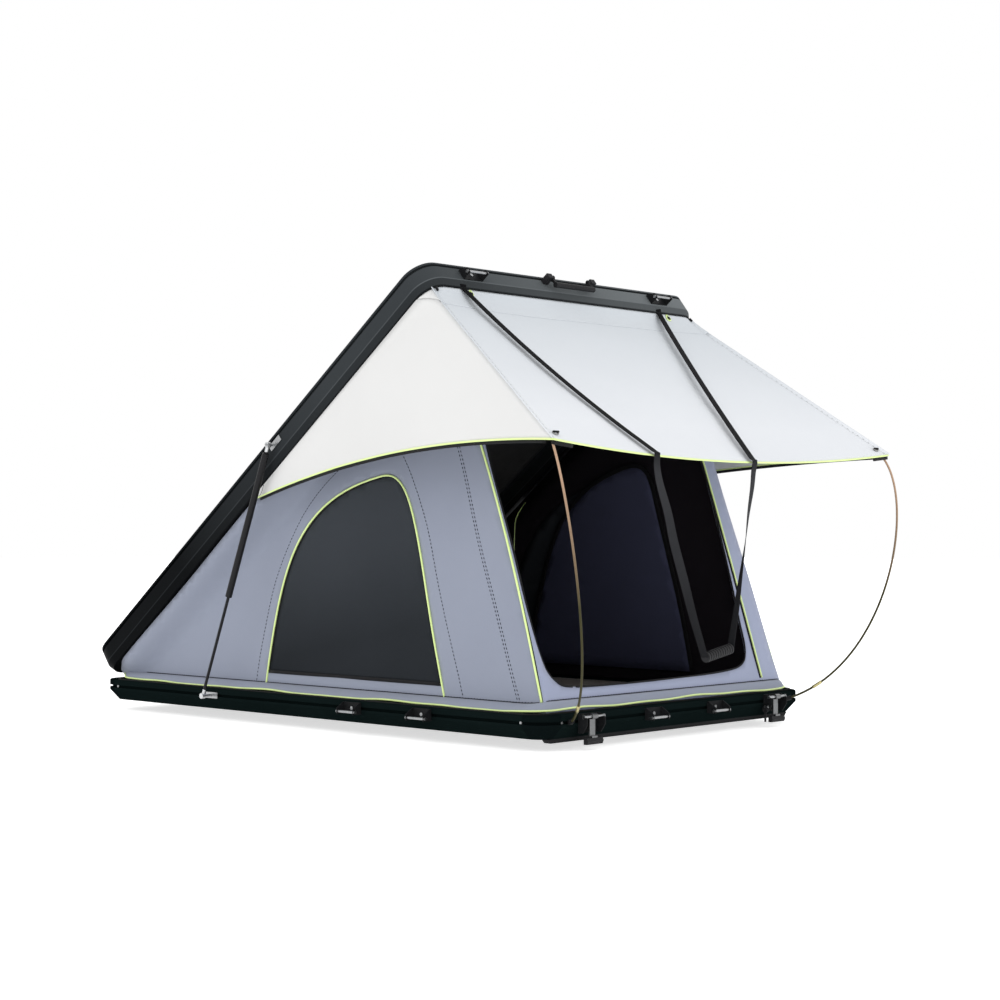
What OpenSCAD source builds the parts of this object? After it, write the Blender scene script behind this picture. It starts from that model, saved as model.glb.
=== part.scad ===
// Wedge-shaped roof top tent, shown open: a tray that bolts to a roof rack, a hard lid hinged at the
// rear and held up by two gas struts, fabric walls, a mattress, an awning on two sprung rods and a
// pull strap. +X points to the door end, -Y to the left side as seen from the door, +Z up.
// The origin is the middle of the rack bolt pattern, on the underside of the mounting channels.

/* [Tray] */
// Length of the tray over its rails
base_len = 2100; // [1900:10:2300]
// Width of the tray over its rails
base_wid = 1300; // [1200:10:1500]
// Height of the tray rails
base_h = 72; // [68:1:90]
// Width of the tray rail section
rail_w = 64; // [60:1:66]
// Wall of the hollow rails
rail_wall = 3; // [2:0.5:4]
// Corner radius of tray and lid in plan
corner_r = 80; // [78:1:110]
// How far the underside of the tray rails slopes in
under_in = 33; // [20:1:40]
// Height of that slope
under_h = 36; // [26:1:38]
// Height of the accessory groove above the tray's underside
groove_z = 44; // [42:1:48]
// Width of the accessory groove
groove_w = 9; // [7:0.5:11]
// Depth of the accessory groove
groove_d = 10; // [6:0.5:12]
// Bevel along the top lips
lip_c = 3; // [1:0.5:4]
// Width of the ledge that carries the floor panel
ledge_w = 10; // [8:1:12]
// Thickness of the ledges in tray and lid
ledge_t = 4; // [3:0.5:6]
// Thickness of the floor panel
floor_t = 20; // [12:1:25]
// Length of the strip under the front rail, past the straight rail on each side
strip_past = 20; // [0:1:40]
// Width of that strip
strip_w = 25; // [15:1:40]
// Height of that strip
strip_h = 12; // [8:1:16]

/* [Rack mounting] */
// Height of the mounting channels below the tray
channel_h = 36; // [30:1:60]
// Width of a mounting channel
channel_w = 50; // [40:1:70]
// Length of a mounting channel
channel_len = 1560; // [1400:10:1800]
// Distance between the two channels
channel_gap = 660; // [560:10:900]
// Distance between the rack bolts along a channel
rack_pitch = 1200; // [800:10:1300]
// Diameter of the rack bolt holes
rack_hole_d = 8.5; // [6.5:0.5:10.5]

/* [Lid] */
// Angle at which the lid stands open
lid_open = 37.7; // [30:0.1:40]
// Height of the lid rails
lid_h = 88; // [80:1:110]
// Width of the lid rail section
lid_rail_w = 40; // [34:1:44]
// Width of the ledge under the roof panel
lid_ledge_w = 30; // [26:1:32]
// How far the lid stands over the tray on each side
lid_overhang = 15; // [10:1:20]
// Distance of the lid's front edge behind the tray's front edge
lid_front_in = 10; // [6:1:14]
// Distance of the lid's rear edge in from the tray's rear edge
lid_rear_in = 35; // [32:1:38]
// How far the lower band of the lid rails slopes in
bevel_in = 11; // [6:1:14]
// Height of that band
bevel_h = 24; // [18:1:30]
// Distance of the lid groove below the lid's top
lid_groove_below = 18; // [16:1:24]
// Width of the lid groove
lid_groove_w = 9; // [6:0.5:10]
// Depth of the lid groove
lid_groove_d = 8; // [5:0.5:10]
// Thickness of the roof panel
roof_t = 20; // [14:1:25]
// Thickness of the padded headliner
liner_t = 10; // [6:1:14]
// Gap between the closed lid and the tray
seal_gap = 4; // [4:0.5:6]
// Width of the rubber seal
seal_w = 8; // [6:0.5:9]
// Distance of the seal in from the lid's edge
seal_in = 19; // [19:0.5:20]
// How far the lid squeezes in short of the seal
seal_clear = 0.4; // [0.3:0.1:0.8]

/* [Rear hinges] */
// Distance of the hinge axis in from the tray's rear edge
hinge_in = 22; // [20:1:24]
// Length of one hinge
hinge_len = 300; // [200:10:320]
// Distance between hinges
hinge_pitch = 400; // [340:10:440]
// Radius of the hinge knuckles
knuckle_r = 3.7; // [3.4:0.1:3.7]
// Radius of the hinge pins
hinge_pin_r = 2; // [1.5:0.1:2.3]
// Thickness of the hinge leaves
leaf_t = 2; // [1.5:0.1:2.4]
// Height of the lid leaves
lid_leaf_h = 45; // [30:1:60]

/* [Gas struts] */
// Distance of the strut's lower stud from the tray's rear edge
strut_foot_x = 624; // [580:1:680]
// Distance of the strut's upper stud from the hinge axis
strut_head_u = 1225; // [1150:1:1260]
// Height of the upper stud above the lid's lower edge
strut_head_h = 59; // [50:1:64]
// Distance of the strut's middle line from the lid's side
strut_off = 25; // [23:1:40]
// Radius of the strut tube
tube_r = 11; // [9:0.5:13]
// Length of the strut tube
tube_len = 500; // [470:1:520]
// Radius of the strut rod
strut_rod_r = 5; // [4:0.5:6]
// Length of rod that stays inside the open strut
rod_hold = 60; // [40:1:80]
// Distance from a stud to the start of the tube
tube_start = 30; // [26:1:36]
// Radius of the end sockets
socket_r = 9; // [8:0.5:11]
// Width of the end sockets along the studs
socket_w = 14; // [12:0.5:18]
// Radius of the studs
stud_r = 4; // [3:0.5:5]
// Length of the strut bracket plates
stud_plate_l = 60; // [50:1:80]
// Height of the strut bracket plates
stud_plate_h = 20; // [16:1:24]

/* [Brackets and latches] */
// Thickness of the bracket plates
bracket_t = 3; // [2:0.5:4]
// Width of a ladder bracket
bracket_w = 76; // [60:1:90]
// Height of a bracket
bracket_h = 36; // [30:1:40]
// How far a bracket stands out
bracket_out = 34; // [30:1:44]
// Distance of the cross pin from the bracket's back
pin_out = 28; // [24:1:29]
// Distance of the cross pin below the bracket's middle
pin_drop = 10; // [6:1:11]
// Radius of the cross pins
pin_r = 4; // [3:0.5:5]
// Distance between the two brackets of a ladder
ladder_pitch = 306; // [260:1:400]
// Distance of the side ladder's middle in front of the tray's middle
ladder_side_x = 415; // [380:1:450]
// Distance between the two latches
latch_pitch = 910; // [800:10:960]
// Width of a latch bracket and of its keeper
latch_w = 84; // [78:1:100]
// Height of the latch bracket's lower edge above the tray's underside
latch_low = 14; // [10:1:20]
// Distance of the latch bracket's upper edge below the tray's top
latch_top_in = 2; // [1:0.5:4]
// Height of the latch pin above the tray's underside
latch_pin_z = 62; // [58:1:62]
// Distance of the latch pin from the tray's front
latch_pin_out = 24; // [22:1:26]
// Height of the keeper's middle above the lid's lower edge
keeper_h = 46; // [44:1:50]
// Width of the latch hasp
hasp_w = 24; // [18:1:32]
// Thickness of the latch hasp
hasp_t = 4; // [3:0.5:5]
// Width of the latch's pull grip
pull_w = 70; // [50:1:70]
// Height of the latch's pull grip
pull_h = 19; // [14:1:20]
// Radius of a screw head
screw_r = 5.5; // [4:0.5:6]
// Height of a screw head
screw_h = 3; // [2:0.5:4]
// Radius of the key's bow
key_bow_r = 11; // [9:0.5:13]
// Length of the key's blade
key_blade = 30; // [22:1:34]

/* [Lid handle] */
// Distance between the handle's end mounts
handle_pitch = 210; // [160:1:260]
// Length of the handle's arms
handle_drop = 30; // [24:1:32]
// Radius of the handle's grip
handle_r = 9; // [7:0.5:10]
// Distance of the handle's pivots from the lid's front
handle_out = 24; // [20:0.5:28]
// Height of the handle's pivots above the lid's lower edge
handle_h = 62; // [56:1:66]
// Width of an end mount
handle_mount_w = 22; // [16:1:30]

/* [Fabric] */
// Thickness of the wall fabric with its lining
wall_t = 3; // [2:0.5:4]
// Angle at which the side walls lean in towards their top
wall_lean = 2; // [0:0.1:3]
// Distance of the front wall's foot in from the tray's front
front_wall_in = 46; // [44:1:50]
// Thickness of the window mesh
mesh_t = 1.5; // [1:0.5:2]
// Distance of the window's rear lower corner in front of the tray's middle
window_rear = -205; // [-220:1:-120]
// Distance of the window's front lower corner in front of the tray's middle
window_front = 585; // [560:1:650]
// Height of the window's sill above the tray
window_sill = 59; // [30:1:80]
// Distance of the window's top in front of the tray's middle
window_top_x = 290; // [280:1:360]
// Height of the window's top above the tray
window_top = 694; // [600:1:700]
// Half the width of the door at its foot
door_foot = 525; // [450:1:540]
// Half the width of the door at its shoulders
door_shoulder = 440; // [380:1:450]
// Height of the door's sill, along the front wall
door_sill = 66; // [50:1:90]
// Height of the door's top, along the front wall
door_top = 1240; // [1000:10:1260]
// Corner radius of the door's foot
door_r = 120; // [80:1:150]
// Thickness of the mattress
mattress_t = 55; // [40:1:60]
// Space between the mattress and the tray rails
mattress_room = 24; // [20:1:60]
// Crown of the mattress
mattress_crown = 8; // [4:1:10]
// How far the mattress sides pull in between its corners
mattress_draw = 10; // [4:1:16]

/* [Awning] */
// How far the awning reaches in front of the tray
awning_reach = 203; // [120:1:260]
// Half the width of the awning's front edge
awning_half = 835; // [700:1:880]
// Height of the awning's front corners above the tray
awning_z = 774; // [700:1:840]
// Sag of the awning's front edge
awning_sag = 42; // [20:1:60]
// Sag of the awning's middle
awning_belly = 18; // [5:1:30]
// Rise of the wings' lower edges
wing_rise = 55; // [30:1:80]
// Distance of the wings' rear corners from the hinge axis
wing_rear_u = 1035; // [900:5:1150]
// Thickness of the awning fabric
awning_t = 2; // [1.5:0.1:3]
// Radius of the awning rods
awning_rod_r = 3.5; // [2.5:0.1:4]
// How far the awning rods bow forward
rod_bow_x = 160; // [120:1:200]
// How far the awning rods bow sideways
rod_bow_y = 118; // [70:1:140]
// Distance of the rod sockets from the tray's middle
rod_foot_y = 533; // [520:1:545]
// Radius of the rod sockets
rod_socket_r = 7; // [6.5:0.1:7]
// Length of the rod sockets
rod_socket_l = 18; // [14:1:22]

/* [Pull strap] */
// Width of the strap webbing
strap_w = 26; // [20:1:30]
// Thickness of the strap webbing
strap_t = 2; // [1.5:0.1:3]
// Radius of the strap's grip over its ribs
grip_r = 16; // [14.5:0.5:20]
// Number of ribs on the grip
grip_ribs = 9; // [5:1:12]

/* [Clearances] */
// Seat clearance between pieces of one body
fit = 0.3; // [0.2:0.05:0.5]
// Radial clearance of pins and rods
run_fit = 0.05; // [0.03:0.01:0.08]

/* [Hidden] */

// Levels and places that follow from the sizes above
base_z = channel_h;
base_top = base_z + base_h;
floor_z = base_z + ledge_t;
floor_top = floor_z + floor_t;
groove_mid = base_z + groove_z + groove_w / 2;
front_x = base_len / 2;
side_y = base_wid / 2;
hinge_x = -front_x + hinge_in;
hinge_z = base_top + seal_gap;
lid_back = lid_rear_in - hinge_in;
lid_len = base_len - lid_rear_in - lid_front_in;
lid_wid = base_wid + 2 * lid_overhang;
lid_front = lid_back + lid_len;
lid_side = lid_wid / 2;
lid_groove_z = lid_h - lid_groove_below;
roof_under = lid_h - roof_t;
ledge_under = roof_under - ledge_t;
wall_y = lid_side - lid_rail_w - lid_ledge_w + wall_t + fit;
round_fn = 64;

// A point given along the lid (u), across it (y) and above its lower edge (h)
function on_lid(u, y, h) = [
    hinge_x + u * cos(lid_open) - h * sin(lid_open),
    y,
    hinge_z + u * sin(lid_open) + h * cos(lid_open)
];
function mix(a, b, t) = a + (b - a) * t;
function unit(v) = v / norm(v);
function arch(t) = 4 * t * (1 - t);
function bezier(a, b, c, d, t) =
    a * pow(1 - t, 3) + b * 3 * t * pow(1 - t, 2) + c * 3 * t * t * (1 - t) + d * pow(t, 3);

module lid_place() {
    translate([hinge_x, 0, hinge_z]) rotate([0, -lid_open, 0]) children();
}

module flip_y() {
    mirror([0, 1, 0]) children();
}

module both_sides() {
    children();
    flip_y() children();
}

// Closed solid between two grids of points, the first one on the outer or upper side
module grid_solid(outer, inner) {
    rows = len(outer);
    cols = len(outer[0]);
    count = rows * cols;
    points = concat([for (row = outer) each row], [for (row = inner) each row]);
    function at(i, j) = i * cols + j;
    skin = [for (i = [0:rows - 2]) for (j = [0:cols - 2]) each [
        [at(i, j), at(i, j + 1), at(i + 1, j + 1)],
        [at(i, j), at(i + 1, j + 1), at(i + 1, j)]
    ]];
    rim = concat(
        [for (j = [0:cols - 1]) at(0, j)],
        [for (i = [1:rows - 1]) at(i, cols - 1)],
        [for (j = [1:cols - 1]) at(rows - 1, cols - 1 - j)],
        [for (i = [1:rows - 2]) at(rows - 1 - i, 0)]
    );
    edge = [for (k = [0:len(rim) - 1]) let (a = rim[k], b = rim[(k + 1) % len(rim)]) each [
        [b, a, count + a],
        [b, count + a, count + b]
    ]];
    lining = [for (f = skin) [count + f[0], count + f[2], count + f[1]]];
    polyhedron(points, concat(skin, edge, lining), convexity = 8);
}

// Tube or flat band swept along a path; across gives the direction of its width, which turns
// to another direction from one point of the path to its end
module swept(path, half_w, half_t, sides, across, across_end, turn_from = 0) {
    last = len(path) - 1;
    function along(i) = unit(path[min(i + 1, last)] - path[max(i - 1, 0)]);
    function share(i) = max(0, i - turn_from) / (last - turn_from);
    function wide(i) = let (w = mix(across, across_end, share(i))) unit(w - along(i) * (w * along(i)));
    function ring(i) = let (w = wide(i), n = cross(along(i), w)) [
        for (k = [0:sides - 1]) let (a = 360 * (k + 0.5) / sides)
            path[i] + w * half_w * cos(a) / cos(180 / sides) + n * half_t * sin(a) / cos(180 / sides)
    ];
    points = [for (i = [0:last]) each ring(i)];
    skin = [for (i = [0:last - 1]) for (k = [0:sides - 1]) let (m = (k + 1) % sides) each [
        [i * sides + k, (i + 1) * sides + k, (i + 1) * sides + m],
        [i * sides + k, (i + 1) * sides + m, i * sides + m]
    ]];
    start_cap = [for (k = [1:sides - 2]) [0, k, k + 1]];
    end_cap = [for (k = [1:sides - 2]) [last * sides, last * sides + k + 1, last * sides + k]];
    polyhedron(points, concat(skin, start_cap, end_cap), convexity = 8);
}

module rounded_rect(length, width, radius) {
    square([length - 2 * radius, width], center = true);
    square([length, width - 2 * radius], center = true);
    for (sx = [-1, 1]) {
        for (sy = [-1, 1]) {
            translate([sx * (length / 2 - radius), sy * (width / 2 - radius)]) circle(radius, $fn = round_fn);
        }
    }
}

// Pin or bore lying along Y, centred
module along_y(radius, length) {
    rotate([90, 0, 0]) cylinder(r = radius, h = length, center = true, $fn = round_fn);
}

// Rail sections, with the outer face at zero and the inside at negative values
slope_run = sqrt(under_in * under_in + under_h * under_h) / under_h;
function slope_at(z) = -under_in + z * under_in / under_h - rail_wall * slope_run;
base_section = [
    [-rail_w - ledge_w, 0],
    [-under_in, 0],
    [0, under_h],
    [0, groove_z],
    [-groove_d, groove_z],
    [-groove_d, groove_z + groove_w],
    [0, groove_z + groove_w],
    [0, base_h - lip_c],
    [-lip_c, base_h],
    [-rail_w, base_h],
    [-rail_w, ledge_t],
    [-rail_w - ledge_w, ledge_t]
];
base_cavity = [
    [-rail_w + rail_wall, rail_wall],
    [slope_at(rail_wall), rail_wall],
    [slope_at(under_h), under_h],
    [slope_at(under_h), groove_z - rail_wall],
    [-groove_d - rail_wall, groove_z - rail_wall],
    [-groove_d - rail_wall, groove_z + groove_w + rail_wall],
    [-lip_c - rail_wall, groove_z + groove_w + rail_wall],
    [-lip_c - rail_wall, base_h - rail_wall],
    [-rail_w + rail_wall, base_h - rail_wall]
];
lid_section = [
    [-lid_rail_w, 0],
    [-bevel_in, 0],
    [0, bevel_h],
    [0, lid_groove_z],
    [-lid_groove_d, lid_groove_z],
    [-lid_groove_d, lid_groove_z + lid_groove_w],
    [0, lid_groove_z + lid_groove_w],
    [0, lid_h - lip_c],
    [-lip_c, lid_h],
    [-lid_rail_w, lid_h],
    [-lid_rail_w, roof_under],
    [-lid_rail_w - lid_ledge_w, roof_under],
    [-lid_rail_w - lid_ledge_w, ledge_under],
    [-lid_rail_w, ledge_under]
];
lid_cavity = [
    [-lid_rail_w + rail_wall, rail_wall],
    [-bevel_in - rail_wall, rail_wall],
    [-2 * rail_wall, bevel_h],
    [-2 * rail_wall, lid_groove_z - rail_wall],
    [-lid_groove_d - rail_wall, lid_groove_z - rail_wall],
    [-lid_groove_d - rail_wall, lid_h - rail_wall],
    [-lid_rail_w + rail_wall, lid_h - rail_wall]
];

module hollow(section, cavity) {
    difference() {
        polygon(section);
        polygon(cavity);
    }
}

// A rail along X whose outer face looks to +Y
module rail(section, cavity, length) {
    translate([-length / 2, 0, 0]) rotate([90, 0, 90]) linear_extrude(length) hollow(section, cavity);
}

module corners(section, cavity, length, width) {
    for (c = [[1, 1, 0], [-1, 1, 90], [-1, -1, 180], [1, -1, 270]]) {
        translate([c[0] * (length / 2 - corner_r), c[1] * (width / 2 - corner_r), 0]) rotate([0, 0, c[2]])
            rotate_extrude(angle = 90, $fn = 96) translate([corner_r, 0]) hollow(section, cavity);
    }
}

module base_side_rail() {
    translate([0, side_y, base_z]) rail(base_section, base_cavity, base_len - 2 * corner_r);
}

module base_end_rail() {
    rotate([0, 0, -90]) translate([0, front_x, base_z])
        rail(base_section, base_cavity, base_wid - 2 * corner_r);
}

module base_rail_right() {
    color("#16181a") base_side_rail();
}

module base_rail_left() {
    color("#16181a") flip_y() base_side_rail();
}

module base_rail_front() {
    color("#16181a") base_end_rail();
}

module base_rail_rear() {
    color("#16181a") mirror([1, 0, 0]) base_end_rail();
}

module base_corner_castings() {
    color("#121416") translate([0, 0, base_z]) corners(base_section, base_cavity, base_len, base_wid);
}

module front_drip_strip() {
    half = side_y - corner_r + strip_past;
    outline = [[-half, 0], [half, 0], [half - strip_h, -strip_h], [-half + strip_h, -strip_h]];
    color("#0e0f10") translate([front_x - under_in - strip_w, 0, base_z])
        rotate([90, 0, 90]) linear_extrude(strip_w) polygon(outline);
}

module floor_panel() {
    color("#5a5c5e") translate([0, 0, floor_z]) linear_extrude(floor_t)
        rounded_rect(
            base_len - 2 * rail_w - 2 * fit, base_wid - 2 * rail_w - 2 * fit, corner_r - rail_w - fit);
}

module mounting_channels() {
    tall = floor_z;
    color("#8f9296") for (s = [-1, 1]) {
        translate([0, s * channel_gap / 2, 0]) difference() {
            translate([-channel_len / 2, 0, 0]) rotate([90, 0, 90]) linear_extrude(channel_len) difference() {
                translate([-channel_w / 2, 0]) square([channel_w, tall]);
                translate([-channel_w / 2 + rail_wall, rail_wall])
                    square([channel_w - 2 * rail_wall, tall - 2 * rail_wall]);
            }
            for (e = [-1, 1]) {
                translate([e * rack_pitch / 2, 0, -rail_wall])
                    cylinder(d = rack_hole_d, h = 3 * rail_wall, $fn = round_fn);
            }
        }
    }
}

module base_seal() {
    length = lid_len - 2 * seal_in;
    width = lid_wid - 2 * seal_in;
    color("#1c1c1c") translate([hinge_x + lid_back + lid_len / 2, 0, base_top])
        linear_extrude(seal_gap - seal_clear) difference() {
            rounded_rect(length, width, corner_r - seal_in);
            rounded_rect(length - 2 * seal_w, width - 2 * seal_w, corner_r - seal_in - seal_w);
        }
}

// Screw head with its flat side at zero, facing +X
module screw_head(radius = screw_r) {
    rotate([0, 90, 0]) cylinder(r = radius, h = screw_h, $fn = round_fn);
}

// Places on the base: children face outward from the rail faces
module at_front(y, z) {
    translate([front_x, y, z]) children();
}

module at_left(x, z) {
    translate([x, -side_y, z]) rotate([0, 0, -90]) children();
}

module base_screws() {
    ladder_xs = [ladder_side_x - ladder_pitch / 2, ladder_side_x + ladder_pitch / 2];
    near_corner = corner_r + 2 * screw_r;
    groove_screw_r = groove_w / 2 - fit;
    color("silver") {
        for (s = [-1, 1]) {
            at_front(s * ladder_pitch / 2, groove_mid) translate([bracket_t, 0, 0]) screw_head();
            at_front(s * latch_pitch / 2, base_top - latch_top_in - 2 * screw_r)
                translate([bracket_t, 0, 0]) screw_head();
            at_front(s * (side_y - near_corner), groove_mid)
                translate([-groove_d, 0, 0]) screw_head(groove_screw_r);
        }
        both_sides() {
            for (x = ladder_xs) {
                at_left(x, groove_mid) translate([bracket_t, 0, 0]) screw_head();
            }
            for (s = [-1, 1]) {
                at_left(s * (front_x - near_corner), groove_mid)
                    translate([-groove_d, 0, 0]) screw_head(groove_screw_r);
            }
        }
    }
}

// Rear hinges: the base carries the outer knuckles and the middle one, the lid the two between
knuckle_count = 5;
knuckle_l = hinge_len / knuckle_count;

module at_hinges() {
    for (k = [-1, 0, 1]) {
        translate([0, k * hinge_pitch, 0]) children();
    }
}

module knuckle(i) {
    translate([0, (i - (knuckle_count - 1) / 2) * knuckle_l, 0]) along_y(knuckle_r, knuckle_l - 2 * fit);
}

module hinge_bore() {
    along_y(hinge_pin_r + run_fit, hinge_len + 2);
}

module hinge_base_leaves() {
    plate_w = hinge_in - knuckle_r - fit - lip_c;
    color("#2a2c2e") translate([hinge_x, 0, base_top]) at_hinges() difference() {
        union() {
            translate([-knuckle_r - fit - plate_w, -hinge_len / 2, 0]) cube([plate_w, hinge_len, leaf_t]);
            for (i = [0:2:knuckle_count - 1]) {
                translate([0, 0, seal_gap]) knuckle(i);
                translate([-knuckle_r - 1, (i - knuckle_count / 2) * knuckle_l + fit, 0])
                    cube([knuckle_r + 1, knuckle_l - 2 * fit, leaf_t]);
            }
        }
        translate([0, 0, seal_gap]) hinge_bore();
    }
}

module hinge_lid_leaves() {
    web = lid_back - fit;
    color("#2a2c2e") lid_place() at_hinges() difference() {
        union() {
            translate([web - leaf_t, -hinge_len / 2, -leaf_t / 2]) cube([leaf_t, hinge_len, lid_leaf_h]);
            for (i = [1:2:knuckle_count - 2]) {
                knuckle(i);
                translate([0, (i - knuckle_count / 2) * knuckle_l + fit, -leaf_t / 2])
                    cube([web, knuckle_l - 2 * fit, leaf_t]);
            }
        }
        hinge_bore();
    }
}

module hinge_pins() {
    color("silver") translate([hinge_x, 0, hinge_z]) at_hinges() along_y(hinge_pin_r, hinge_len);
}

// Gas struts: the tube hangs on the lid's stud, the rod's socket meets the tray's stud
strut_y = lid_side + strut_off;
strut_head = on_lid(strut_head_u, -strut_y, strut_head_h);
strut_foot = [-front_x + strut_foot_x, -strut_y, groove_mid];
strut_span = norm(strut_foot - strut_head);
strut_tilt = atan2(strut_head[0] - strut_foot[0], strut_head[2] - strut_foot[2]);
gland_l = 20;

// Local frame of the left strut: upper stud at the origin, the strut running down -Z
module strut_place() {
    translate(strut_head) rotate([0, strut_tilt, 0]) children();
}

module strut_tube() {
    strut_place() difference() {
        union() {
            along_y(socket_r, socket_w);
            translate([0, 0, -tube_start - 1]) cylinder(r = strut_rod_r + 1, h = tube_start, $fn = round_fn);
            translate([0, 0, -tube_start - tube_len]) cylinder(r = tube_r, h = tube_len, $fn = round_fn);
        }
        along_y(stud_r + run_fit, socket_w + 2);
        translate([0, 0, -tube_start - tube_len + gland_l])
            cylinder(r = tube_r - rail_wall, h = tube_len - 2 * gland_l, $fn = round_fn);
        translate([0, 0, -tube_start - tube_len - 1])
            cylinder(r = strut_rod_r + run_fit, h = gland_l + 2, $fn = round_fn);
    }
}

module strut_rod() {
    piston_l = 12;
    top = tube_start + tube_len - gland_l - rod_hold;
    strut_place() {
        translate([0, 0, -strut_span]) along_y(socket_r, socket_w);
        translate([0, 0, -strut_span + socket_r - 1])
            cylinder(r = strut_rod_r, h = strut_span - socket_r + 1 - top, $fn = round_fn);
        translate([0, 0, -top]) cylinder(r = tube_r - rail_wall - run_fit, h = piston_l, $fn = round_fn);
    }
}

module strut_tube_left() {
    color("#141414") strut_tube();
}

module strut_rod_left() {
    color("#202020") strut_rod();
}

module strut_tube_right() {
    color("#141414") flip_y() strut_tube();
}

module strut_rod_right() {
    color("#202020") flip_y() strut_rod();
}

module strut_base_studs() {
    reach = strut_y - side_y - socket_w / 2 - fit;
    color("silver") both_sides() at_left(strut_foot[0], groove_mid) {
        translate([0, -stud_plate_l / 2, -stud_plate_h / 2]) cube([bracket_t, stud_plate_l, stud_plate_h]);
        rotate([0, 90, 0]) cylinder(r = stud_r, h = reach, $fn = round_fn);
    }
}

module strut_lid_studs() {
    reach = strut_off + socket_w / 2 + bracket_t;
    color("silver") both_sides() lid_place() translate([strut_head_u, -lid_side, strut_head_h]) {
        translate([-stud_plate_l / 3, -bracket_t, -stud_plate_h / 2])
            cube([stud_plate_l, bracket_t, stud_plate_h]);
        rotate([90, 0, 0]) cylinder(r = stud_r, h = reach, $fn = round_fn);
    }
}

// Bracket with a cross pin, standing out along +X, its back at zero
module pin_bracket(width) {
    cheek = [
        [0, bracket_h / 2],
        [2 * bracket_t, bracket_h / 2],
        [bracket_out, 0],
        [bracket_out, -bracket_h / 2],
        [0, -bracket_h / 2]
    ];
    difference() {
        union() {
            translate([0, -width / 2, -bracket_h / 2]) cube([bracket_t, width, bracket_h]);
            for (s = [-1, 1]) {
                translate([0, s * (width - bracket_t) / 2, 0]) rotate([90, 0, 0])
                    linear_extrude(bracket_t, center = true) polygon(cheek);
            }
        }
        translate([pin_out, 0, -pin_drop]) along_y(pin_r + run_fit, width + 2);
    }
}

// Cross pin with a head on each end
module headed_pin(width) {
    along_y(pin_r, width + 2 * fit);
    for (s = [-1, 1]) {
        translate([0, s * (width / 2 + fit + screw_h / 2), 0]) along_y(screw_r, screw_h);
    }
}

module at_ladder_front() {
    for (s = [-1, 1]) {
        at_front(s * ladder_pitch / 2, groove_mid) children();
    }
}

module at_ladder_left() {
    for (s = [-1, 1]) {
        at_left(ladder_side_x + s * ladder_pitch / 2, groove_mid) children();
    }
}

module ladder_brackets_front() {
    color("#101112") at_ladder_front() pin_bracket(bracket_w);
}

module ladder_brackets_left() {
    color("#101112") at_ladder_left() pin_bracket(bracket_w);
}

module ladder_brackets_right() {
    color("#101112") flip_y() at_ladder_left() pin_bracket(bracket_w);
}

module ladder_pins() {
    color("silver") {
        at_ladder_front() translate([pin_out, 0, -pin_drop]) headed_pin(bracket_w);
        both_sides() at_ladder_left() translate([pin_out, 0, -pin_drop]) headed_pin(bracket_w);
    }
}

// Latches: a hasp on the tray swings up over the cross pin of the lid's keeper
latch_high = base_h - latch_top_in;
keeper_pin = [lid_front + pin_out, keeper_h - pin_drop];
hasp_reach = norm([
    hinge_x + keeper_pin[0] - front_x - latch_pin_out,
    hinge_z + keeper_pin[1] - base_z - latch_pin_z
]);
hasp_end = hasp_reach + pin_r + 2;
hasp_lip = 5;

module at_latch(side) {
    at_front(side * latch_pitch / 2, base_z) children();
}

module latch_mount() {
    cheek = [
        [0, latch_high],
        [latch_pin_out / 2, latch_high],
        [bracket_out, latch_pin_z - pin_r],
        [bracket_out, latch_low + latch_pin_out],
        [bracket_out / 2, latch_low],
        [0, latch_low]
    ];
    difference() {
        union() {
            translate([0, -latch_w / 2, latch_low]) cube([bracket_t, latch_w, latch_high - latch_low]);
            for (s = [-1, 1]) {
                translate([0, s * (latch_w - bracket_t) / 2, 0]) rotate([90, 0, 0])
                    linear_extrude(bracket_t, center = true) polygon(cheek);
            }
        }
        translate([latch_pin_out, 0, latch_pin_z]) along_y(pin_r + run_fit, latch_w + 2);
    }
}

module latch_hasp() {
    ring_r = 2 * pin_r;
    back = pin_r + 1 + hasp_t;
    translate([latch_pin_out, 0, latch_pin_z]) difference() {
        union() {
            along_y(ring_r, hasp_w);
            translate([-back, -hasp_w / 2, -hasp_end - hasp_lip]) cube([hasp_t, hasp_w, hasp_end + hasp_lip]);
            translate([-back, -hasp_w / 2, -hasp_end - hasp_lip]) cube([back + pin_r, hasp_w, hasp_lip]);
        }
        along_y(pin_r + run_fit, hasp_w + 2);
    }
}

// Pull grip below the hasp, seen from the side as a rounded wedge
module latch_pull() {
    back = pin_r + 1 + hasp_t;
    side = [
        [-back, 0],
        [pin_r, 0],
        [2 * pin_r, -pull_h / 2],
        [pin_r, -pull_h],
        [-back, -pull_h]
    ];
    translate([latch_pin_out, 0, latch_pin_z - hasp_end - hasp_lip]) rotate([90, 0, 0])
        linear_extrude(pull_w, center = true) polygon(side);
}

module latch_mount_left() {
    color("#101112") at_latch(-1) latch_mount();
}

module latch_mount_right() {
    color("#101112") at_latch(1) latch_mount();
}

module latch_hasp_left() {
    color("silver") at_latch(-1) latch_hasp();
}

module latch_hasp_right() {
    color("silver") at_latch(1) latch_hasp();
}

module latch_pull_left() {
    color("#161616") at_latch(-1) latch_pull();
}

module latch_pull_right() {
    color("#161616") at_latch(1) latch_pull();
}

module latch_pins() {
    color("silver") for (s = [-1, 1]) {
        at_latch(s) translate([latch_pin_out, 0, latch_pin_z]) headed_pin(latch_w);
    }
}

module at_keepers() {
    for (s = [-1, 1]) {
        lid_place() translate([lid_front, s * latch_pitch / 2, keeper_h]) children();
    }
}

module latch_keepers() {
    color("#18191a") at_keepers() pin_bracket(latch_w);
}

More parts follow.
